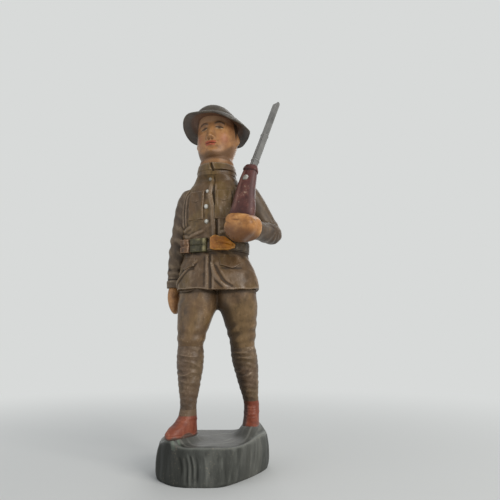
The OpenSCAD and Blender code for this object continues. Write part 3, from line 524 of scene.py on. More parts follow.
def breeches_folds(p, n):
    """Creases over the knees that fade up the thigh, rising outwards on the left leg, a rounded arch with
    painted shade at the crotch, more painted shade on the left leg's inner side and under the hem, and tops
    drawn in wherever they would stand out beyond the oval of the hem."""
    x, y, z = p.T
    left = rise(x, -0.5, 1)
    level = z - left * 0.35 * (x - 4)
    knee = rise(27.6 + 1.2 * left - level, 0, 2.4) * rise(z - knee_z, -0.2, 0.8)
    crease = np.sin(level * 2.9 + 0.7 * np.sin(1.1 * x) + 1.1 * left) * knee
    drag = 0.5 * np.sin((x * 1.3 + z * 0.9) * (1 - left) + (z * 0.8 - x * 1.1) * left) * rise(z, 27, 30)
    seam = bump(x - hip[0], 0, 0.35) * (z > 28)
    crotch = bump(x - hip[0] - 0.4, 0, 1.6) * bump(z, 30.5, 3) * rise(-n[:, 1], -0.2, 0.6)
    hem_shade = rise(z, hip[2] - 0.9, hip[2] - 0.1)
    arch = 0.5 * bump(z, 30.9, 0.9) * rise(-n[:, 2], 0.1, 0.6) - 0.3 * bump(z, 28.9, 1.7)
    arch = arch * bump(x - hip[0] - 0.4, 0, 2.2)
    trunk = abs(spun(p - hip, 0, 1, turn))
    hem_power = 2.17
    spread = (trunk[:, 0] / (hem_w / 2)) ** hem_power + (trunk[:, 1] / (1.18 * chest_d / 2)) ** hem_power
    tuck = 6.5 * np.maximum(0, spread ** (1 / hem_power) - 0.94) * rise(z, hip[2] - 3, hip[2] - 0.5)
    push = 0.09 * crease + 0.05 * drag - 0.06 * seam + arch - tuck
    relief = 0.38 * crease * (0.6 + 0.4 * np.sin(1.7 * x + z)) + 0.15 * drag - 0.15 * seam - 0.4 * crotch
    # Painted shade on the inner side of the left leg.
    relief = relief - 0.7 * left * rise(-n[:, 0], -0.1, 0.6) * rise(32 - z, 0, 2)
    return push, relief - 0.8 * hem_shade + 0.5 * bump(x + 1.9, 0, 0.7) * bump(z, 29.8, 1.6) * (y < 0)


breeches_paint = paint("breeches_brown_paint", "6e573a 604a34 33271a 8d7252", 0.37, 0.75, 0.55, tall=0.6)
legs = pressed([thigh(right_knee, -1), thigh(left_knee, 1)], 12, breeches_folds)
piece("breeches", "pressed", legs, breeches_paint)

# Tunic
# The trunk and its flared skirt are one pressing, painted brown, with soft folds round the waist and armpits.
# The front closes over a raised edge on the buttons' left, and the skirt hangs open below the belt.
tunic_h, chest_w, fold_t = 23.3, 13.8, 0.22
neck_r, collar_t, fall_w = 3.2, 0.6, 0.55
seat_r = neck_r + collar_t + fall_w / 2
neck_axis = np.array([chest_w * -0.045, chest_d * 0.03, 0])
tunic_shares = [[0, 1, 1.18, 1, 0], [0.1, 0.995, 1.14, 0.9, 0.15], [0.21, 0.985, 1.04, 0.4, 0.6],
    [0.3, 0.955, 0.95, 0, 0.95], [0.4, 0.955, 0.93, 0, 1], [0.5, 0.98, 0.97, 0, 1], [0.615, 1, 1, 0, 1],
    [0.73, 1, 0.98, 0, 1], [0.827, 0.95, 0.91, 0, 1], [0.9, 0.82, 0.84, 0, 1], [0.95, 0.7, 0.74, 0, 1]]
tunic_rows = [[a * tunic_h, b * chest_w / 2 + d * (hem_w - chest_w) / 2, c * chest_d / 2, d, e]
    for a, b, c, d, e in tunic_shares] + [[tunic_h, seat_r, seat_r, 0, 1]]
belt_h, flap_h, pocket_h = 2.2, 2.2, 6.2
belt_low, belt_high = tunic_h * 0.366 - belt_h / 2, tunic_h * 0.366 + belt_h / 2
flap_high = belt_low - tunic_h * 0.04
flap_low = flap_high - flap_h
pocket_high = tunic_h * 0.856
pocket_low = pocket_high - pocket_h
pocket_spans = ((232.5, 262.5), (277.5, 307.5))
flap_spans = ((210, 247.5), (285, 322.5))
# A fold has its height, its half-width, and its path of angles and heights.
standing_folds = {"placket": (-0.3, 1.6, [[282, 10.2], [282, 12.4], [280, 16.2], [275, 19.2], [277, 22.8]]),
    "lap": (0.16, 3, [[277, 10.2], [276, 12.4], [274, 16.2], [270, 19.2], [272, 22.6]]),
    "opening": (-0.26, 1.2, [[271, 0.2], [271, 6.8]]),
    "front edge": (0.14, 2, [[267, 0.3], [268, 6.8]]),
    "swag": (0.26, 3, [[290, 0.8], [281, 1.8], [276, 3.3], [272, 5.4]]),
    "dip beside the swag": (-0.14, 3, [[300, 0.8], [289, 1.6], [283, 3.1], [279, 4.6]]),
    "right armpit": (0.3, 3.2, [[211, 12.8], [209, 16], [215, 20.6]]),
    "before the right armpit": (0.21, 2.5, [[222, 13], [221, 19.5]]),
    "left chest": (0.22, 3, [[313, 12.2], [317, 16], [322, 20.5]]),
    "vent": (-0.24, 1.5, [[90, 0.1], [90, 7]]),
    "back seam": (-0.12, 1.2, [[90, 10.5], [90, 21]]),
    "left blade": (0.16, 7, [[60, 13], [52, 18], [56, 21]]),
    "right blade": (0.16, 7, [[120, 13], [128, 18], [124, 21]])}
lying_folds = {"right side": (0.26, 0.4, [[192, 0.7], [205, 1.9], [236, 4.4], [250, 5.6]]),
    "dip above it": (-0.16, 0.45, [[196, 2.6], [212, 3.4], [238, 5.6]]),
    "waist in front": (0.16, 0.35, [[190, 11.4], [230, 10.6], [262, 11.6]]),
    "waist at the right": (0.16, 0.35, [[186, 12.8], [215, 12.0], [236, 12.6]]),
    "waist at the left": (0.16, 0.35, [[286, 11.2], [320, 12], [345, 13.4]]),
    "back above the belt": (0.15, 0.4, [[35, 12.6], [90, 10.8], [145, 12.4]]),
    "back under the blades": (0.15, 0.4, [[28, 14.6], [90, 12.3], [152, 14]]),
    "back of the skirt": (0.15, 0.4, [[40, 5.2], [90, 6.2], [140, 5]]),
    "shoulder seam": (-0.08, 0.25, [[0, 20.5], [60, 21.3], [120, 21.3], [180, 20.5]])}


def in_trunk(p):
    """Points of the trunk's frame, which stands on the hips and is turned to the figure's right."""
    return spun(p, 0, 1, -turn) + hip


def skin(q, z, out=0):
    """The trunk's surface at an angle and a height: an oval whose half-widths follow the table of rows."""
    r = at(tunic_rows, z)
    out = out + fold_t * r[..., 3] * (cosd(5 * q + 20) + cosd(9 * q)) / 2
    return xyz(neck_axis[0] * r[..., 4] + (r[..., 1] + out) * power(cosd(q), 0.92),
        neck_axis[1] * r[..., 4] + (r[..., 2] + out) * power(sind(q), 0.92), z)


def band(x, low, high, soft):
    """1 between low and high, with edges that are soft wide."""
    return rise(x, low - soft, low + soft) * (1 - rise(x, high - soft, high + soft))


def folds(q, z):
    """Height of the tunic's folds and edges above its plain surface: rounded ridges and dips along paths of
    angles and heights, which fade at both ends of the path, and small lumps up to the shoulders."""
    total = 0
    for table, across, along, way, fade in ((standing_folds, q, z, 1, 0.5), (lying_folds, z, q, -1, 4)):
        for amount, width, path in table.values():
            middle, place = np.array(path, float).T[::way]
            ridge = bump(across, np.interp(along, place, middle), width)
            total = total + amount * ridge * band(along, place[0], place[-1], fade)
    lumps = np.sin(np.radians(9 * q) + 2.2 * np.sin(0.9 * z)) * np.sin(1.15 * z + np.radians(5 * q))
    lumps = lumps + 0.4 * np.sin(np.radians(17 * q) + 1.5 * np.sin(1.7 * z)) * np.sin(1.9 * z)
    return total + 0.04 * lumps * rise(21.5 - z, 0, 3)


def wash_lines(q, z):
    """Where the cloth is darkened by dirt and painted shade: beside belt, pockets and flaps, and under the
    arms.
    """
    lines = 0.8 * bump(z, belt_low - 0.25, 0.3) + 0.6 * bump(z, belt_high + 0.2, 0.25)
    for low, high in pocket_spans:
        rows = 0.5 * bump(z, pocket_low - 0.15, 0.18) + 0.3 * bump(z, pocket_high + 0.15, 0.15)
        ends = 0.7 * (bump(q, low - 1, 1.4) + bump(q, high + 1, 1.4))
        lines = lines + rows * band(q, low - 1, high + 1, 1.5) + ends * band(z, pocket_low, pocket_high, 0.3)
    for low, high in flap_spans:
        lines = lines + band(q, low, high, 2) * bump(z, flap_low - 0.2, 0.25)
    under_arm = bump(q, 196, 10) * band(z, 5, 19, 2) + bump(q, 338, 14) * band(z, 6, 17, 2)
    return np.clip(lines + 0.7 * under_arm, 0, 1)


q = around(300)
z = np.concatenate([steps(0, 0.12, 6)[:-1], steps(0.12, tunic_h, 225)])
hem = (0.28 * cosd(3 * q + 35) + 0.14 * cosd(7 * q)) * rise(1.8 - z, 0, 1.6)
lip = -0.35 * rise(0.12 - z, 0, 0.12)
grid = in_trunk(skin(q, z, folds(q, z) + lip) + xyz(0, 0, np.maximum(hem, -z)))
relief = hollows(grid, 0.06, 3, 4) * (1 - 0.75 * rise(z, 20.4, 21.4)) - 0.75 * wash_lines(q, z)
tunic_paint = paint("tunic_brown_paint", "624c2a 58422a 2b1f12 846f5a", 0.38, 0.8, 0.6, tall=0.4)
piece("tunic", "pressed", skinned(grid, relief), tunic_paint)

# Breast pockets
# Patch pockets stand a little proud of the chest: a pointed flap above, and a sunk pleat down the middle.
# They are pressed with the tunic and share its paint.


def plate(span, z_low, z_high, columns, rows, height, outline=None, under=0):
    """A closed slab on the trunk between the two angles of its span and two heights. outline moves each
    height, height gives the thickness there over a layer as thick as under, the edges dive under the cloth
    by sink, and the back follows the trunk inside it."""
    sink, back = 0.12, 0.12
    u, v = steps(0, 1, columns).T, steps(0, 1, rows)
    q, z = np.broadcast_arrays(mix(*span, u), mix(z_low, z_high, v))
    z = outline(q, z) if outline else z
    inside = np.minimum(np.minimum(u, 1 - u) * (columns - 1), np.minimum(v, 1 - v) * (rows - 1))
    outer = skin(q, z, under - sink + (height(q, z) + sink) * rise(inside, 0, 2.5) + folds(q, z) * 0.5)
    return outer, skin(q, z, under - sink - back), inside, q, z


def slab_mesh(plates, **marks):
    """One mesh from slabs, each closed by turning its outer and inner sheets into rings along the rows. A
    mark is a function of angle and height, and like the relief it holds for the outer sheet."""
    grids, values = [], {key: [] for key in ("relief", *marks)}
    for outer, inner, inside, q, z in plates:
        grids.append(in_trunk(np.concatenate([outer, inner[:, ::-1]], axis=1)))
        front = np.concatenate([outer[:, :1], outer, outer[:, -1:]], axis=1)
        # The edge of each slab is darkened with painted shade where it meets the cloth.
        proud = np.clip(hollows(front, 0.03, 1, 1)[:, 1:-1] - 0.6 * (inside < 1.2), -1, 1)
        for key in values:
            shown = marks[key](q, z) if key in marks else proud
            values[key].append(np.concatenate([shown, shown * 0], axis=1))
    return skin_mesh(grids, **values)


def pocket_height(low, high):
    """Thickness of a breast pocket: raised side borders, a sunk middle and a low flap with a pointed edge."""
    def height(q, z):
        middle = (low + high) / 2
        point = 1 - abs(q - middle) / (high - low) * 2
        flap = rise(z, 17.9 - 0.5 * point, 18.15 - 0.5 * point)
        sunk = bump(q, middle, 6.5) * (1 - 0.5 * flap)
        borders = bump(q, low + 3, 2) + bump(q, high - 3, 2)
        return 0.28 - 0.22 * sunk + 0.05 * flap + 0.12 * borders + 0.04 * np.sin(1.9 * z + 0.3 * q)
    return height


pockets = [plate(span, pocket_low, pocket_high, 64, 60, pocket_height(*span)) for span in pocket_spans]
piece("breast_pockets", "pressed", slab_mesh(pockets), tunic_paint)

# Skirt pocket flaps
# Each flap on the skirt has a scalloped lower edge that stands off the cloth, with a line of painted shade
# below it.
# They are pressed with the tunic and share its paint.


def scallop(low, high):
    """The flap's lower edge drops softly in its middle and rises at both ends."""
    def outline(q, z):
        t = (q - low) / (high - low)
        dip = 0.3 - 0.6 * np.sin(np.pi * np.clip(t, 0, 1)) + 0.12 * np.sin(3 * np.pi * t)
        return z + dip * rise(flap_high - z, 0, flap_h) + 0.3 * (t - 0.5) * np.sign(low - 270)
    return outline


def flap_height(q, z):
    """Thickness of a flap, which stands off the cloth towards its lower edge."""
    return 0.16 + 0.24 * rise(flap_high - z, 0.2, flap_h)


flaps = [plate(span, flap_low + 0.1, flap_high, 80, 30, flap_height, scallop(*span)) for span in flap_spans]
piece("skirt_pocket_flaps", "pressed", slab_mesh(flaps), tunic_paint)

# Tunic buttons
# Small domed studs down the front, pressed with the tunic and touched with silver paint.
# Painted shade darkens round their rims, and the top one is the dullest.
silver_paint = paint("silver_touch_paint", "8d8b83 7b766b 453b30 c4c3bc", 0.36, 0.7, 0.9, grain=0.00002,
    chips=0.2)
u, q = steps(-0.35, 1, 22), around(40)
stud_h, stud_tall = 0.42, 1.15
studs, marks = [], []
for height, place, size, bright in ((13.4, 267, 0.85, 0.6), (16.4, 266, 0.88, 0.6), (19.6, 266.5, 0.74, 0.5),
        (22.3, 268.5, 0.68, -0.3)):
    r = size * 0.5 * np.sqrt(np.clip(1 - u**2, 0, 1)) * (1 - 0.1 * bump(u, 0.35, 0.15))
    dome = spun(xyz(u * stud_h, r * cosd(q), stud_tall * r * sind(q)), 0, 1, place)
    studs.append(in_trunk(skin(place, height) + dome))
    marks.append(bright * rise(u, 0.3, 0.9) - 0.9 * rise(0.3 - u, 0, 0.4))
piece("tunic_buttons", "domed", skin_mesh(studs, relief=marks), silver_paint)

# Belt
# A flat leather belt pressed round the waist and painted a darker brown.
# A groove runs along both edges, and the lower one bites into the skirt.
belt_t = 0.34
q = around(300)
v = steps(0, 1, 32)
face = belt_t + 0.04 * cosd(17 * q) - 0.12 * (bump(v, 0.12, 0.05) + bump(v, 0.88, 0.05))
outer = skin(q, mix(belt_low, belt_high, v), face * rise(np.minimum(v, 1 - v), -0.02, 0.06) - 0.02)
inner = skin(q, steps(belt_high, belt_low, 12), -0.3)


def ring_mesh(grid, relief):
    """A closed band: its rows run over the outside and back over the inside, and the last meets the first."""
    m, n = grid.shape[:2]
    i = np.arange(m * n).reshape(m, n)
    k, up = np.roll(i, -1, axis=1), np.roll(i, -1, axis=0)
    mesh = bpy.data.meshes.new("band")
    faces = np.stack([i, k, np.roll(up, -1, axis=1), up], axis=-1).reshape(-1, 4).tolist()
    mesh.from_pydata(grid.reshape(-1, 3) * mm, [], faces)
    write_mark(mesh, "relief", np.clip(relief, -1, 1))
    mesh.shade_smooth()
    return mesh


# Painted shade darkens both edges of the belt.
relief = hollows(outer, 0.03, 2, 1) - 0.8 * (bump(v, 0, 0.1) + bump(v, 1, 0.08))
relief = np.concatenate([relief, inner[..., 0] * 0])
strap_paint = paint("belt_brown_paint", "52432f 483a2a 231b13 715f48", 0.37, 0.85, 0.5)
mesh = ring_mesh(in_trunk(np.concatenate([outer, inner])), relief)
piece("belt", "band", mesh, strap_paint)

# Belt buckle
# A square plate painted dark olive, with raised ends, a groove across it and gold on its inner edge.
# It is pressed on the belt and stands a little above it.


def buckle_height(q, z):
    """Thickness of the plate: raised rims at both ends, a groove across it and one beside the inner rim."""
    return (0.34 + 0.12 * bump(q, 241, 2) + 0.18 * bump(q, 265, 2.2) - 0.12 * bump(z, belt_low + 1.35, 0.12)
        - 0.12 * bump(q, 260.5, 1.3))


def gold(q, z):
    """Gold paint on the plate's inner edge, and a touch of it above."""
    edge = bump(q, 264.5, 2.6) * (0.2 + 0.7 * bump(z, belt_low + 0.6, 0.5) + 0.8 * bump(z, belt_high, 0.5))
    return edge + 0.5 * bump(q, 256, 3.5) * bump(z, belt_high + 0.25, 0.25)


olive_paint = paint("olive_buckle_paint", "413b24 37321d 1a1b12 666040", 0.35, 0.85, 0.6,
    [("gold", "a79b70", 0.85)])
strapped = plate((239, 268.5), belt_low - 0.1, belt_high + 0.55, 64, 44, buckle_height, under=belt_t)
piece("belt_buckle", "plate", slab_mesh([strapped], gold=gold), olive_paint)

# Left pouch
# A soft leather pouch on the belt, pressed with it and painted ochre.
# It has a crease between its two halves and a pointed outer end.
pouch_start, pouch_long = 272, 42
pouch_low, pouch_high = belt_low - 0.2, belt_high + 0.75


def wedge(q, z):
    """The pouch is tall at its inner end and runs out into a low point, and both its edges are rounded."""
    t = (q - pouch_start) / pouch_long
    tall = pouch_high - pouch_low
    share = (z - pouch_low) / tall
    top = tall * (1 - 0.62 * rise(t, 0.3, 1.05) - 0.15 * bump(t, 0, 0.12) - 0.12 * bump(t, 0.36, 0.1))
    return belt_low + 0.12 + top * share + (0.5 * rise(t, 0.65, 1) + 0.3 * bump(t, 0, 0.1)) * (1 - share)


def pouch_height(q, z):
    """Two soft bellies, one above the other, with a slanting crease between them."""
    t = (q - pouch_start) / pouch_long
    belly = np.sqrt(np.clip(np.sin(np.pi * np.clip(t * 0.84 + 0.12, 0, 1)), 0, 1))
    crease_z = belt_low + 2 - 0.9 * t
    crease = 0.24 * bump(z, crease_z, 0.2) * band(t, 0.25, 0.8, 0.12)
    return belly * (1 - 0.2 * abs(z - crease_z) / 1.6) - crease


ochre_paint = paint("ochre_pouch_paint", "c17e30 ab6b28 4c2d10 dba454", 0.34, 0.8, 0.8)
pouch_span = (pouch_start, pouch_start + pouch_long)
left = plate(pouch_span, pouch_low, pouch_high, 96, 50, pouch_height, wedge, belt_t)
piece("left_pouch", "soft", slab_mesh([left]), ochre_paint)

# Right pouch
# A small rounded pouch on the other side of the buckle, pressed with the belt.
# Its paint has faded to a dusty pink brown.


def bulges(q, z):
    """Thickness of the right pouch: two swellings side by side, and a crease across them."""
    return 0.7 + 0.25 * bump(q, 219, 5) + 0.3 * bump(q, 231, 4) - 0.25 * bump(z, belt_low + 1.4, 0.2)


dusty_paint = paint("dusty_pouch_paint", "74543a 664a32 382820 a88468", 0.4, 0.85, 0.6)
right = plate((213, 237.5), pouch_low + 0.15, pouch_high - 0.15, 60, 44, bulges,
    lambda q, z: z - 0.01 * (q - 225), belt_t)
piece("right_pouch", "soft", slab_mesh([right]), dusty_paint)

# Collar
# A standing band with a turned-down fall, whose foot spreads into the shoulders. A slanting slit parts the
# fall in front, and its points lie on the chest. It is pressed with the tunic.
collar_h, notch = 2.5, 286
q = around(360)
s = steps(0, 1, 60)
foot = at([[0, 0.62], [0.2, 0.5], [0.4, 0.4], [1, 0]], s)[..., 1]
fall = at([[0, 0], [0.34, 0], [0.42, 0.6], [0.5, 0.62], [0.75, 0.4], [0.92, 0.2], [1, 0.05]], s)[..., 1]
fall = foot + fall * (0.25 + 0.75 * bump(q, 305, 34) + 0.5 * bump(q, 90, 60))
gap = q - (notch - 4 - 14 * s)
parted = bump(gap, 0, 3.6) * rise(s, 0.22, 0.42)
points = (0.12 * bump(gap, 7, 3) + 0.08 * bump(gap, -6, 2.5)) * rise(s, 0.4, 0.5)
r = neck_r + collar_t + fall_w * fall - 0.4 * parted + points + 0.05 * cosd(4 * q + 60) * (1 - s)
sag = 0.14 * cosd(q * 3 + 70) * (1 - s)
outside = xyz(r * cosd(q), r * sind(q), collar_h * s + sag)
top = steps(0, 1, 10)[1:]
lip_r = mix(neck_r + collar_t, neck_r - 0.1, top)
upper = xyz(lip_r * cosd(q), lip_r * sind(q), collar_h + 0.12 * np.sin(np.pi * top) - 0.25 * top)
grid = in_trunk(np.concatenate([outside, upper]) + neck_axis + [0, 0, tunic_h - 0.05])
relief = hollows(grid, 0.06)
# Painted shade darkens the slit and the line under the fall, and the top edge is painted lighter.
relief[:60] -= 0.5 * parted + 0.5 * bump(s, 0.36, 0.05) * bump(q, 305, 36) - 0.5 * bump(s, 0.94, 0.07)
piece("collar", "pressed", skinned(grid, relief), tunic_paint)

# Right sleeve
# The sleeve hangs beside the body with a few long drag folds, creases at the elbow and a turned cuff.
# It is pressed with the tunic, and its paint is greyer.
shoulder_w, cuff_w, sleeve_l, shoulder_z = 4.7, 3.5, 20.4, tunic_h * 0.918
sleeve_shares = [[0, 0.76, 0, 0.35, 0.4], [0.03, 0.82, 0, 0.75, 0.8], [0.08, 0.88, 0, 0.95, 0.96],
    [0.18, 0.98, 0, 1, 1], [0.4, 1.11, 0.02, 0.98, 0.98], [0.6, 1.23, 0.05, 0.95, 0.95],
    [0.8, 1.31, 0.08, 0.92, 0.9], [1, 1.345, 0.1, 0.9, 0.86]]
s, q = steps(0, 1, 170) ** 1.3, around(120)
r = at(sleeve_shares, s)
centre = xyz(-r[..., 1] * chest_w / 2, r[..., 2] * chest_d, shoulder_z - sleeve_l * s)
width = mix(shoulder_w, cuff_w / 0.88, s) / 2
bends = np.sin(s * 52 + np.radians(2 * q) + 1.5 * sind(q)) * bump(s, 0.56, 0.16)
drag = sind(3 * q + 130 * s + 50 * sind(q + 300 * s)) * band(s, 0.12, 0.9, 0.1) * (1 - 0.5 * bump(q, 180, 45))
drag = drag * (0.6 + 0.4 * np.sin(9 * s + np.radians(2 * q))) * (0.62 - 0.38 * sind(q))
cuff = rise(s, 0.925, 0.935) * 0.12 - 0.1 * bump(s, 0.92, 0.008)
out = 0.12 * bends + 0.12 * drag + cuff + 0.04 * np.sin(s * 61 + np.radians(5 * q))
out = out + 0.06 * np.sin(s * 80 + np.radians(q)) * bump(s, 0.84, 0.06)
grid = in_trunk(ring(centre, -upright, width * r[..., 3], width * r[..., 4], 2.2, q, out))
# Painted shade darkens the side of the sleeve that faces the body.
under = 0.5 * bump(q, 0, 40) + 0.5 * bump(q, 360, 40)
sleeve_paint = paint("sleeve_brown_paint", "584837 504032 2a2018 7b6954", 0.41, 0.8, 0.55, tall=0.4)
mesh = skinned(grid, hollows(grid, 0.03) - 0.6 * under * rise(s, 0.1, 0.3))
piece("right_sleeve", "pressed", mesh, sleeve_paint)

# Right hand
# A simple lump at the end of the sleeve, painted a sunburnt skin tone.
# Its fingers are drawn together, as presses of this kind leave them.
hand_l = 5.2
hand_shares = [[0, 0.62, 0.74, 0], [0.25, 0.72, 0.88, 0], [0.5, 0.7, 0.94, 0.02], [0.75, 0.56, 0.82, 0.05],
    [0.93, 0.34, 0.55, 0.08], [1, 0.14, 0.25, 0.09]]
s, q = steps(-0.04, 1, 80), around(96)
r = at(hand_shares, np.maximum(0, s))
start = np.array([-1.345 * chest_w / 2 - cuff_w * 0.1, 0.1 * chest_d, shoulder_z - sleeve_l])
fingers = -0.12 * sum(bump(q, a, 5) for a in (205, 180, 155)) * rise(s, 0.42, 0.6)
thumb = 0.3 * bump(q, 285, 16) * bump(s, 0.4, 0.2) - 0.14 * bump(q, 262, 7) * bump(s, 0.48, 0.18)
grid = in_trunk(ring(start + xyz(cuff_w * r[..., 3], 0, -hand_l * s), -upright, r[..., 1] * cuff_w / 2,
    r[..., 2] * cuff_w / 2, 2.3, q, fingers + thumb))
skin_paint = paint("sunburnt_hand_paint", "a3754a 946845 4c2e1d c49768", 0.4, 0.8, 0.5)
piece("right_hand", "pressed", skinned(grid, hollows(grid, 0.03)), skin_paint)

# Left sleeve
# Upper arm and forearm are one pressing bent at a sharp elbow, with creases that spread from the bend.
# They carry the same greyer brown as the right sleeve.
elbow_out, elbow_drop, fist_reach, fist_w = 4.7, 7.9, 10.4, 6.2
shoulder = np.array([chest_w * 0.4, chest_d * 0.01, tunic_h * 0.85])
elbow = shoulder + [elbow_out, chest_d * 0.28, -elbow_drop]
elbow_w = mix(shoulder_w, cuff_w, 0.4)
fist = elbow + [-elbow_out * 0.54, -fist_reach, -elbow_drop * 0.12]
wrist = mix(fist, elbow, fist_w * 0.46 / np.linalg.norm(elbow - fist))
upper_shares = [[-0.14, 0.5], [-0.08, 0.84], [0.06, 1.07], [0.25, 1.1], [0.5, 1.04], [0.9, 0.96], [1.1, 0.84],
    [1.19, 0.55], [1.22, 0.2]]
fore_shares = [[-0.17, 0.25], [-0.14, 0.62], [-0.05, 0.9], [0.2, 1], [0.6, 0.98], [1, 1]]
bend, grip = in_trunk(elbow), in_trunk(fist)


def arm(low, high, table, w_low, w_high):
    """Rings from one joint of the arm to the next, closer at both ends, whose width follows the table."""
    s = mix(table[0][0], table[-1][0], (1 - cosd(steps(0, 180, 90))) / 2)
    w = mix(w_low, w_high, s) / 2 * at(table, s)[..., 1]
    return in_trunk(ring(mix(low, high, s[..., None]), high - low, w, w, 2.1, around(100)))


def sleeve_folds(p, n):
    """Creases spreading like rays from inside the elbow, drag folds up to the shoulder, and painted shade at
    the cuff.
    """
    d = p - bend
    reach = np.linalg.norm(d, axis=1)
    ray = np.arctan2(d[:, 2], -d[:, 0] - 0.4 * d[:, 1])
    creases = np.sin(ray * 9 + 0.5 * reach) * rise(reach, 1.2, 3) * (1 - rise(reach, 6, 8.5))
    drag = np.sin(1.7 * d[:, 0] + 1.1 * d[:, 2] + 0.6 * d[:, 1]) * rise(reach, 5, 8)
    along = d @ (grip - bend) / np.linalg.norm(grip - bend)
    full = 0.06 + 0.2 * (1 - rise(reach, 1, 4)) * rise(n[:, 0] - n[:, 2], 0, 1)
    return full + 0.06 * creases + 0.06 * drag, 0.28 * creases + 0.25 * drag - 0.5 * rise(along, 7.4, 8.2)


upper_arm = arm(shoulder, elbow, upper_shares, shoulder_w, elbow_w)
forearm = arm(elbow, wrist, fore_shares, elbow_w, cuff_w)
piece("left_sleeve", "pressed", pressed([upper_arm, forearm], 6, sleeve_folds), sleeve_paint)

# Left hand
# A big simple fist round the toe of the butt, more a mitten than a hand: squared above at the knuckles, full
# on the outside and cut away below, with a crease between thumb and fingers.
fist_shares = [[0, 0.5, 0.48], [0.12, 0.66, 0.62], [0.3, 0.9, 0.86], [0.55, 1, 0.95], [0.8, 0.97, 0.9],
    [0.94, 0.78, 0.7], [1, 0.45, 0.4]]
fist_outline = [[-48, 0.79], [-2, 0.98], [15, 1.03], [55, 0.9], [78, 0.86], [105, 0.94], [133, 1.1], [159, 1],
    [182, 1.02], [219, 0.93], [254, 0.93], [286, 0.8], [312, 0.79], [358, 0.98], [375, 1.03]]
s, q = steps(-0.05, 1, 120), around(160)
r = at(fist_shares, np.maximum(0, s))
way = (fist - wrist) / np.linalg.norm(fist - wrist)
centre = wrist + way * (fist_w * 0.9 * s)[..., None] - xyz(0.55 * rise(s, 0.2, 0.6), 0, 0)
mitten = fist_w / 2 * mix(1, at(fist_outline, q)[..., 1], rise(s, 0.1, 0.5))
grooves = sum(bump(q, a + 10 * (s - 0.6), 4) for a in (196, 222, 250))
grooves = grooves * rise(s, 0.5, 0.62) * (1 - rise(s, 0.9, 1))
ahead, above = r[..., 1] * cosd(q), r[..., 1] * sind(q)
fold = bump(above, 0.55 - 0.3 * (ahead - 0.05) ** 2, 0.11) * band(ahead, -0.3, 0.4, 0.25) * rise(s, 0.55, 0.7)
thumb = bump(above, 0.82, 0.14) * band(ahead, -0.6, 0.4, 0.2) * rise(s, 0.5, 0.66)
palm = bump(q, 172 - 20 * s, 6) * rise(s, 0.45, 0.6)
out = -0.1 * grooves - 0.16 * fold + 0.12 * thumb - 0.12 * palm
grid = in_trunk(ring(centre, way, r[..., 1] * mitten, r[..., 2] * mitten, 2.2, q, out))
relief = hollows(grid, 0.09) - 0.35 * fold - 0.3 * palm - 0.2 * grooves
level = grid[..., 2] - grip[2] + 0.25 * (grid[..., 0] - grip[0])
fist_paint = paint("ochre_hand_paint", "b68148 aa7542 4a2c19 d6a264", 0.38, 0.8, 0.55,
    [("shadow", "5c3b26", 0.85)])
piece("left_hand", "pressed", skinned(grid, relief, shadow=rise(-level, -0.2, 1.5)), fist_paint)

# Head
# Head and neck are one piece plugged into the tunic. Skin tone is brushed over it, then brows, eyes and lips
# are drawn with a fine brush. The face is a plain, calm one on common proportions.
chin_h, face_h, face_w, face_d, nose_t, head_tilt, head_side = 3, 10.8, 8.4, 9, 0.8, 11, 3
head_shares = [[0, 0.34, 0.42, 0.02], [0.04, 0.55, 0.475, 0.16], [0.12, 0.76, 0.5, 0.32],
    [0.25, 0.9, 0.505, 0.42], [0.42, 0.98, 0.49, 0.48], [0.6, 1, 0.48, 0.51], [0.8, 0.99, 0.475, 0.5],
    [1, 0.95, 0.465, 0.48]]
hair_edge = [[0, 1.3], [58, 1.2], [68, 0.86], [77, 0.62], [82, 0.52], [87, 0.62], [95, 0.72], [104, 0.64],
    [112, 0.47], [130, 0.37], [155, 0.3], [180, 0.27]]
# A feature has its height, its place and half-width round the head, and those up the face.
features = {"tip of the nose": (1, 0, 8, 0.395, 0.055), "bridge": (0.6, 0, 8, 0.52, 0.11),
    "wings": (0.3, 8.5, 3.5, 0.375, 0.028), "nostrils": (-0.3, 4, 2.5, 0.335, 0.015),
    "sockets": (-0.5, 23, 9, 0.615, 0.05), "eyeballs": (0.3, 23, 7, 0.6, 0.025),
    "ridge of the brows": (0.35, 22, 15, 0.72, 0.045), "cheekbones": (0.35, 38, 15, 0.48, 0.09),
    "upper lip": (0.36, 0, 12, 0.278, 0.018), "lower lip": (0.4, 0, 10, 0.222, 0.02),
    "mouth": (-0.35, 0, 14, 0.25, 0.008), "below the lip": (-0.25, 0, 12, 0.165, 0.028),
    "chin": (0.45, 0, 15, 0.08, 0.055)}


def in_head(p, share=1):
    """Points of the head's frame, whose origin is under the chin and which tips back and to the side."""
    p = spun(spun(p, 1, 2, -head_tilt * share), 2, 0, -head_side * share)
    return in_trunk(p + neck_axis + [0, 0, tunic_h + chin_h])


def hills(x, y, *rows):
    """A sum of round hills. Each row has a hill's height, its place and half-width in x, and those in y."""
    return sum(height * bump(x, a, b) * bump(y, c, d) for height, a, b, c, d in rows)


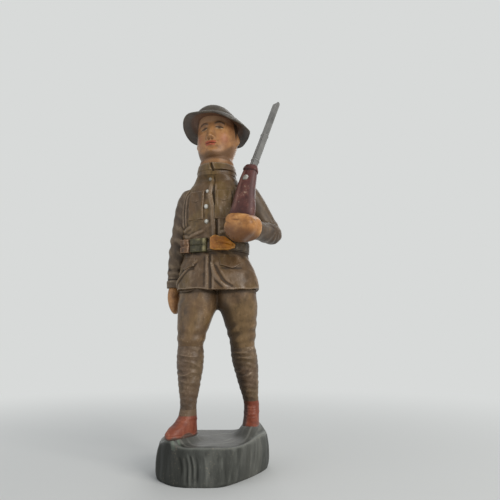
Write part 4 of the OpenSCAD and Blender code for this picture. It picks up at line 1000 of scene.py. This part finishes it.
q = around(320)
s = steps(-0.42, 1, 260)
r = at(head_shares, np.clip(s, 0, 1))
grow = rise(s, -0.06, 0.02)
c, n = cosd(q), sind(q)
half, front, back = (r[..., k] * width * grow for k, width in ((1, face_w / 2), (2, face_d), (3, face_d)))
x = q - 270
pair = abs(x)
round_head = np.minimum(pair, 360 - pair)
face = nose_t * hills(pair, s, *features.values()) * grow
ears = hills(round_head, s, (0.8, 95, 7, 0.52, 0.11), (-0.4, 94, 3, 0.54, 0.05))
locks = np.sin(np.radians(round_head * 11) + 5 * s)
hair = rise(s - at(hair_edge, round_head)[..., 1] - 0.012 * locks, -0.03, 0.03)
side, deep = half + face + ears, (front + back) / 2 + face
head_r = 1 / np.sqrt((c / np.maximum(0.01, side)) ** 2 + (n / np.maximum(0.01, deep)) ** 2)
head_x, head_y = head_r * c, head_r * n + (back - front) / 2
angle = np.degrees(np.arctan2(head_y, head_x))
far = np.stack([np.interp(q[0], a, f, period=360) for a, f in zip(angle, np.hypot(head_x, head_y))])
neck_reach = neck_r - 0.25 * rise(s, 0.1, 0.3) + 0.35 * bump(s, -0.02, 0.07)
join = (far**12 + neck_reach**12 * (s < 0.45)) ** (1 / 12)
cords = hills(x, s, (0.12, -24, 9, -0.16, 0.12), (0.12, 24, 9, -0.16, 0.12))
join = join + cords + hair * (0.1 + 0.03 * locks)
grid = in_head(xyz(join * c, join * n, face_h * s), rise(s, -0.3, 0.02))
brow_arch = 0.698 + 0.02 * np.sin(np.pi * np.clip((pair - 10) / 28, 0, 1))
lips = band(pair, -1, 14.5, 2.5) * (bump(s, 0.277, 0.023) + bump(s, 0.222, 0.021) * (pair < 12))
jaw = rise(0.085 + 0.26 * rise(round_head, 18, 85) - s, -0.04, 0.05) * rise(s, -0.06, 0.01)
jaw = jaw * rise(110 - round_head, 0, 55)
temple = 0.5 * rise(round_head, 40, 70) * rise(s, 0.3, 0.55) * (round_head < 120)
round_eyes = hills(pair, s, (0.6, 23, 14, 0.65, 0.05), (0.48, 10, 3.5, 0.5, 0.11))
under_nose = hills(pair, s, (0.6, 0, 9, 0.34, 0.018), (0.42, 0, 9, 0.178, 0.022))
shade = round_eyes + under_nose + jaw + temple + 0.35 * rise(-s, -0.02, 0.02)
# The forehead under the brim is painted lighter, as painted light against the brim's shadow.
masks = {"brow_top": rise(s, 0.7, 0.78) * rise(70 - round_head, 0, 20),
    "flush": hills(pair, s, (1, 36, 13, 0.38, 0.11), (0.5, 60, 20, 0.75, 0.14)),
    "shade": np.clip(shade, 0, 1),
    "hair": hair,
    "white": band(pair, 12.5, 33, 2) * bump(s, 0.603, 0.019) * 0.85,
    "iris": bump(np.sqrt((pair - 22.5) ** 2 + ((s - 0.61) * 165) ** 2), 0, 4.3),
    "lid": band(pair, 11.5, 34.5, 2) * bump(s, 0.638 - 0.018 * ((pair - 23) / 10) ** 2, 0.015),
    "brow": band(pair, 9, 38, 3) * bump(s, brow_arch, 0.025),
    "lips": np.clip(lips, 0, 1),
    "mouth": band(pair, -1, 15, 1.5) * bump(s, 0.25, 0.009)}
face_paint = paint("face_skin_paint", "9e7148 926742 5b3a26 b98a5a", 0.4, 0.6, 0.45,
    [("brow_top", "b8967a", 0.65), ("flush", "94492f", 0.5), ("shade", "5f4631", 0.85),
     ("hair", "33241a", 0.95), ("white", "b9a78c", 0.75), ("iris", "1f1712", 1), ("lid", "261a13", 1),
     ("brow", "32231a", 0.95), ("lips", "9a3c30", 0.95), ("mouth", "471c17", 0.9)], grain=0.00003, chips=0.2)
piece("head", "with_neck", skinned(grid, 0.7 * hollows(grid, 0.05, 3, 2), **masks), face_paint)

# Helmet
# A bowl with a dropped brim, glued over the head with a tilt to the left and painted a greyer brown. The brim
# is a little uneven from the mould and lifts over the right brow. Inside, the bowl is left in a reddish
# brown, and the outer part of the brim's underside is painted a paler grey, a painted light against its
# shade.
bowl_w, brim_w, helmet_h, helmet_t, brim_drop, helmet_side = 10.1, 14.2, 4.8, 0.6, 1.9, 8
bowl_r, brim_r, rim_z = bowl_w / 2, brim_w / 2, face_h * 0.955
q = around(240)
u = steps(1, 0, 50)
v = u[::-1][10:]
a = steps(0, 89.6, 60)[1:]
under = mix(bowl_r - 0.5, brim_r - 0.08, v)
reach = np.concatenate([under, mix(bowl_r, brim_r, u), bowl_r * cosd(a) ** 0.85])
level = np.concatenate([-helmet_t * mix(0.9, 0.55, v), u * 0, (helmet_h - brim_drop + 0.3) * sind(a) ** 0.95])
share = np.concatenate([v, u, a * 0]) ** 1.3
row = np.arange(len(reach))[:, None] - len(v)
wave = (0.2 * cosd(2 * q) + 0.35 * bump(q, 160, 26) - 0.6 * bump(q, 226, 30) - 0.35 * bump(q, 0, 25)
    - 0.35 * bump(q, 360, 25) + 0.08 * cosd(7 * q))
up = level - (brim_drop + wave) * share
brim = rise(reach, bowl_r, brim_r)
pulled = bump(q, 2, 10) + bump(q, 362, 10) - 0.9 * bump(q, 322, 22) - 0.7 * bump(q, 36, 14)
pulled = pulled + 1.1 * bump(q, 222, 24)
dented = reach * (1 - 0.02 * cosd(2 * q + 30) * rise(up, -0.5, 1.5) + 0.045 * pulled * brim)
across = dented * cosd(q) * (1 - 0.15 * rise(up, 0, 1.8)) - 0.35 * rise(up, -1.2, 1.5)
grid = in_head(spun(xyz(across, dented * sind(q), up), 2, 0, helmet_side) + [0, 0, rim_z])
inside = 1 - rise(reach, mix(bowl_r, brim_r, 0.1), mix(bowl_r, brim_r, 0.55))
below_brim = (1 - inside) * (row < -3) * (1 - 0.35 * bump(q, 280, 50))
# seam here is only a thin line of painted shade where the brim meets the bowl.
seam = 0.05 * bump(up, 0.1, 0.25) * (row > -2)
# The front of the brim's top is painted darker.
worn_front = 0.6 * bump(q, 278, 55) * brim * (row > -3)
helmet_paint = paint("helmet_grey_brown_paint", "4e473d 453d36 27221e 686054", 0.44, 0.8, 0.5,
    [("lining", "75543f", 0.85), ("below_brim", "6f6660", 0.75)], grain=0.00008)
relief = hollows(grid, 0.12) - seam - worn_front
mesh = skinned(grid, relief, lining=inside * (row < -2), below_brim=below_brim)
piece("helmet", "with_brim", mesh, helmet_paint)

# Rifle stock
# Butt and stock are pressed in one lump and painted maroon.
# A hooked cap stands out where the barrel goes in, and two shallow channels run down the front.
stock_l, butt_w, butt_t, rifle_lean, rifle_side = 14.8, 4.9, 2.6, 30, 9
stock_shares = [[0, 0.9, 0.86, 0.02], [0.06, 0.98, 0.98, 0.02], [0.2, 0.97, 1, 0], [0.45, 0.82, 0.98, -0.13],
    [0.62, 0.74, 0.92, -0.2], [0.8, 0.65, 0.84, -0.25], [0.93, 0.54, 0.74, -0.265], [1, 0.4, 0.6, -0.26]]


def in_rifle(p):
    """Points of the rifle's frame: the butt's end in the fist, the muzzle on +Z, leaned back and outwards."""
    p = spun(spun(p, 1, 2, -rifle_lean), 2, 0, rifle_side)
    return in_trunk(p + fist + fist_w * np.array([-0.2, -0.02, 0.22]))


s, q = steps(0, 1, 170), around(120)
r = at(stock_shares, s)
cap = 0.28 * band(s, 0.9, 0.985, 0.012) * (0.5 + 0.5 * bump(q, 215, 50)) - 0.2 * bump(s, 0.885, 0.012)
channel = -(0.07 * bump(q, 250, 9) + 0.08 * bump(q, 300, 7)) * band(s, 0.1, 0.86, 0.04)
grid = in_rifle(ring(xyz(r[..., 3] * butt_w, 0, stock_l * s), upright, r[..., 1] * butt_w / 2,
    r[..., 2] * butt_t / 2, 2.6, q, cap + channel))
# gleam paints two highlight streaks down the front, and pale a highlight strip on the lit side.
gleam = (bump(q, 238, 7) + 0.6 * bump(q, 226, 5)) * band(s, 0.12, 0.84, 0.06)
pale = bump(q, 312, 14) * band(s, 0.1, 0.9, 0.05)
maroon_paint = paint("maroon_stock_paint", "522b26 472622 241311 74493f", 0.36, 0.8, 0.5,
    [("gleam", "7c5a50", 0.55), ("pale", "6f5856", 0.75)], 0.25)
# The relief darkens the groove under the cap with painted shade.
mesh = skinned(grid, hollows(grid, 0.06, 2, 1) - 0.5 * bump(s, 0.885, 0.014), gleam=gleam, pale=pale)
piece("rifle_stock", "pressed", mesh, maroon_paint)

# Trigger plate
# A silver oval on the front of the stock under its cap, which stands for bolt and trigger.
# It is pressed with the stock and touched with the silver of the buttons.
u, q = steps(-0.98, 1, 44), around(72)
size = butt_t * 0.46 / 2
r = size * np.sqrt(np.clip(1 - u**2, 0, 1))
oval = xyz(r * cosd(q), r * sind(q), 1.4 * size * u)
grid = in_rifle(oval + [-0.29 * butt_w, -butt_t * 0.34, stock_l * 0.705])
# The relief paints a highlight on the oval's upper side and darkens it towards its ends.
relief = 0.7 * rise(u + 0.6 * cosd(q), -0.3, 0.6) - rise(abs(u), 0.7, 1) - 0.2
piece("trigger_plate", "oval", skinned(grid, relief), silver_paint)

# Barrel
# A rolled tin tube let into the stock, with its lapped seam to the front.
# The tin is dull. A low ring and the rim of the mouth stand out from it.
barrel_l, barrel_w, tang_l = 10, 1.35, 3
barrel_x = butt_w * -0.24
tin = paint("dull_tin_paint", "706f6c 686765 3c3a38 8a8884", 0.42, 0.7, 0.4, (), 0.15, 0.00002, 0.1)
v, q = steps(0, 1, 120), around(72)
r = 0.6 * barrel_w - 0.1 * bump(q, 262, 4) + 0.08 * bump(v, 0.985, 0.01) + 0.1 * bump(v, 0.36, 0.012)
grid = in_rifle(xyz(barrel_x + r * cosd(q), r * sind(q), stock_l - tang_l + (tang_l + barrel_l) * v))
piece("barrel", "rolled", skinned(grid, hollows(grid, 0.02)), tin)

# Bayonet
# A strip of the same tin with a slanted point.
# It is cut flat and pinched into the barrel's mouth.
bayonet_l, bayonet_w, bayonet_t = 12.4, 1.15, 0.5
v, q = steps(0, 1, 110), around(64)
low, high = stock_l + barrel_l - tang_l, stock_l + barrel_l + bayonet_l
rounded = np.sqrt(1 - 0.92 * np.clip((v - 0.925) / 0.075, 0, 1) ** 2)
x = 0.7 * bayonet_w * power(cosd(q), 0.8)
z = mix(low, high, v) - 0.45 * rise(-x / bayonet_w, -0.6, 0.6) * rise(v, 0.9, 1)
y = bayonet_t / 2 * power(sind(q), 0.8) * (1 - 0.25 * rise(v, 0.9, 1)) - 0.02 * bump(x, 0, 0.12)
grid = in_rifle(xyz(mix(0.12 * bayonet_w, x, rounded) + barrel_x, y, z))
piece("bayonet", "blade", skinned(grid, hollows(grid, 0.02)), tin)

# Floor and light
# A pale floor that fades into the same pale tone as the surroundings, one broad lamp from the upper right
# front, two weaker ones from the left and from behind, and a soft fill from everywhere.
backdrop = linear("d8dad9")
floor_mesh = bpy.data.meshes.new("floor")
floor_mesh.from_pydata([(-3, -3, 0), (3, -3, 0), (3, 3, 0), (-3, 3, 0)], [], [(0, 1, 2, 3)])
floor = placed("floor", floor_mesh)
pale_floor, shader, place = blank("pale_floor")
distance = place.node("ShaderNodeVectorMath", {"operation": "LENGTH"}, {0: place}, "Value")
near = place.node("ShaderNodeBsdfDiffuse", {}, {"Color": linear("d3d4d2")})
far = place.node("ShaderNodeEmission", {}, {"Color": backdrop, "Strength": 1})
ground = place.node("ShaderNodeMixShader", {}, {0: distance.step(0.03, 0.16), 1: near, 2: far})
pale_floor.node_tree.nodes.remove(shader)
ground.into(pale_floor.node_tree.nodes["Material Output"], 0)
floor_mesh.materials.append(pale_floor)

world = bpy.data.worlds.new("pale_room")
bpy.context.scene.world = world
world.use_nodes = True
tree = world.node_tree
rays = tree.nodes.new("ShaderNodeLightPath")
seen = Coat(tree, rays.outputs["Is Camera Ray"]) + Coat(tree, rays.outputs["Is Glossy Ray"])
seen = seen + Coat(tree, rays.outputs["Is Transmission Ray"])
soft = seen.node("ShaderNodeBackground", {}, {"Color": linear("e6eaee"), "Strength": 0.53})
shown = seen.node("ShaderNodeBackground", {}, {"Color": backdrop, "Strength": 1})
seen.node("ShaderNodeMixShader", {}, {0: seen, 1: soft, 2: shown}).into(tree.nodes["World Output"], 0)


def lamp(name, place, aim_z, size, power_w, colour):
    """A square area lamp at a place, turned to the height aim_z over the middle of the base."""
    light = bpy.data.lights.new(name, "AREA")
    light.size = size
    light.energy = power_w
    light.color = colour
    thing = placed(name, light)
    thing.location = place
    thing.rotation_euler = (Vector((0, 0, aim_z)) - Vector(place)).to_track_quat("-Z", "Y").to_euler()


lamp("window", (0.23, -0.25, 0.17), 0.035, 0.2, 0.86, (1, 0.98, 0.94))
lamp("room_fill", (-0.3, -0.2, 0.14), 0.04, 0.3, 0.26, (0.97, 0.98, 1))
lamp("back_fill", (0.05, 0.35, 0.25), 0.04, 0.3, 0.48, (1, 1, 1))
bpy.context.scene.view_settings.view_transform = "Standard"
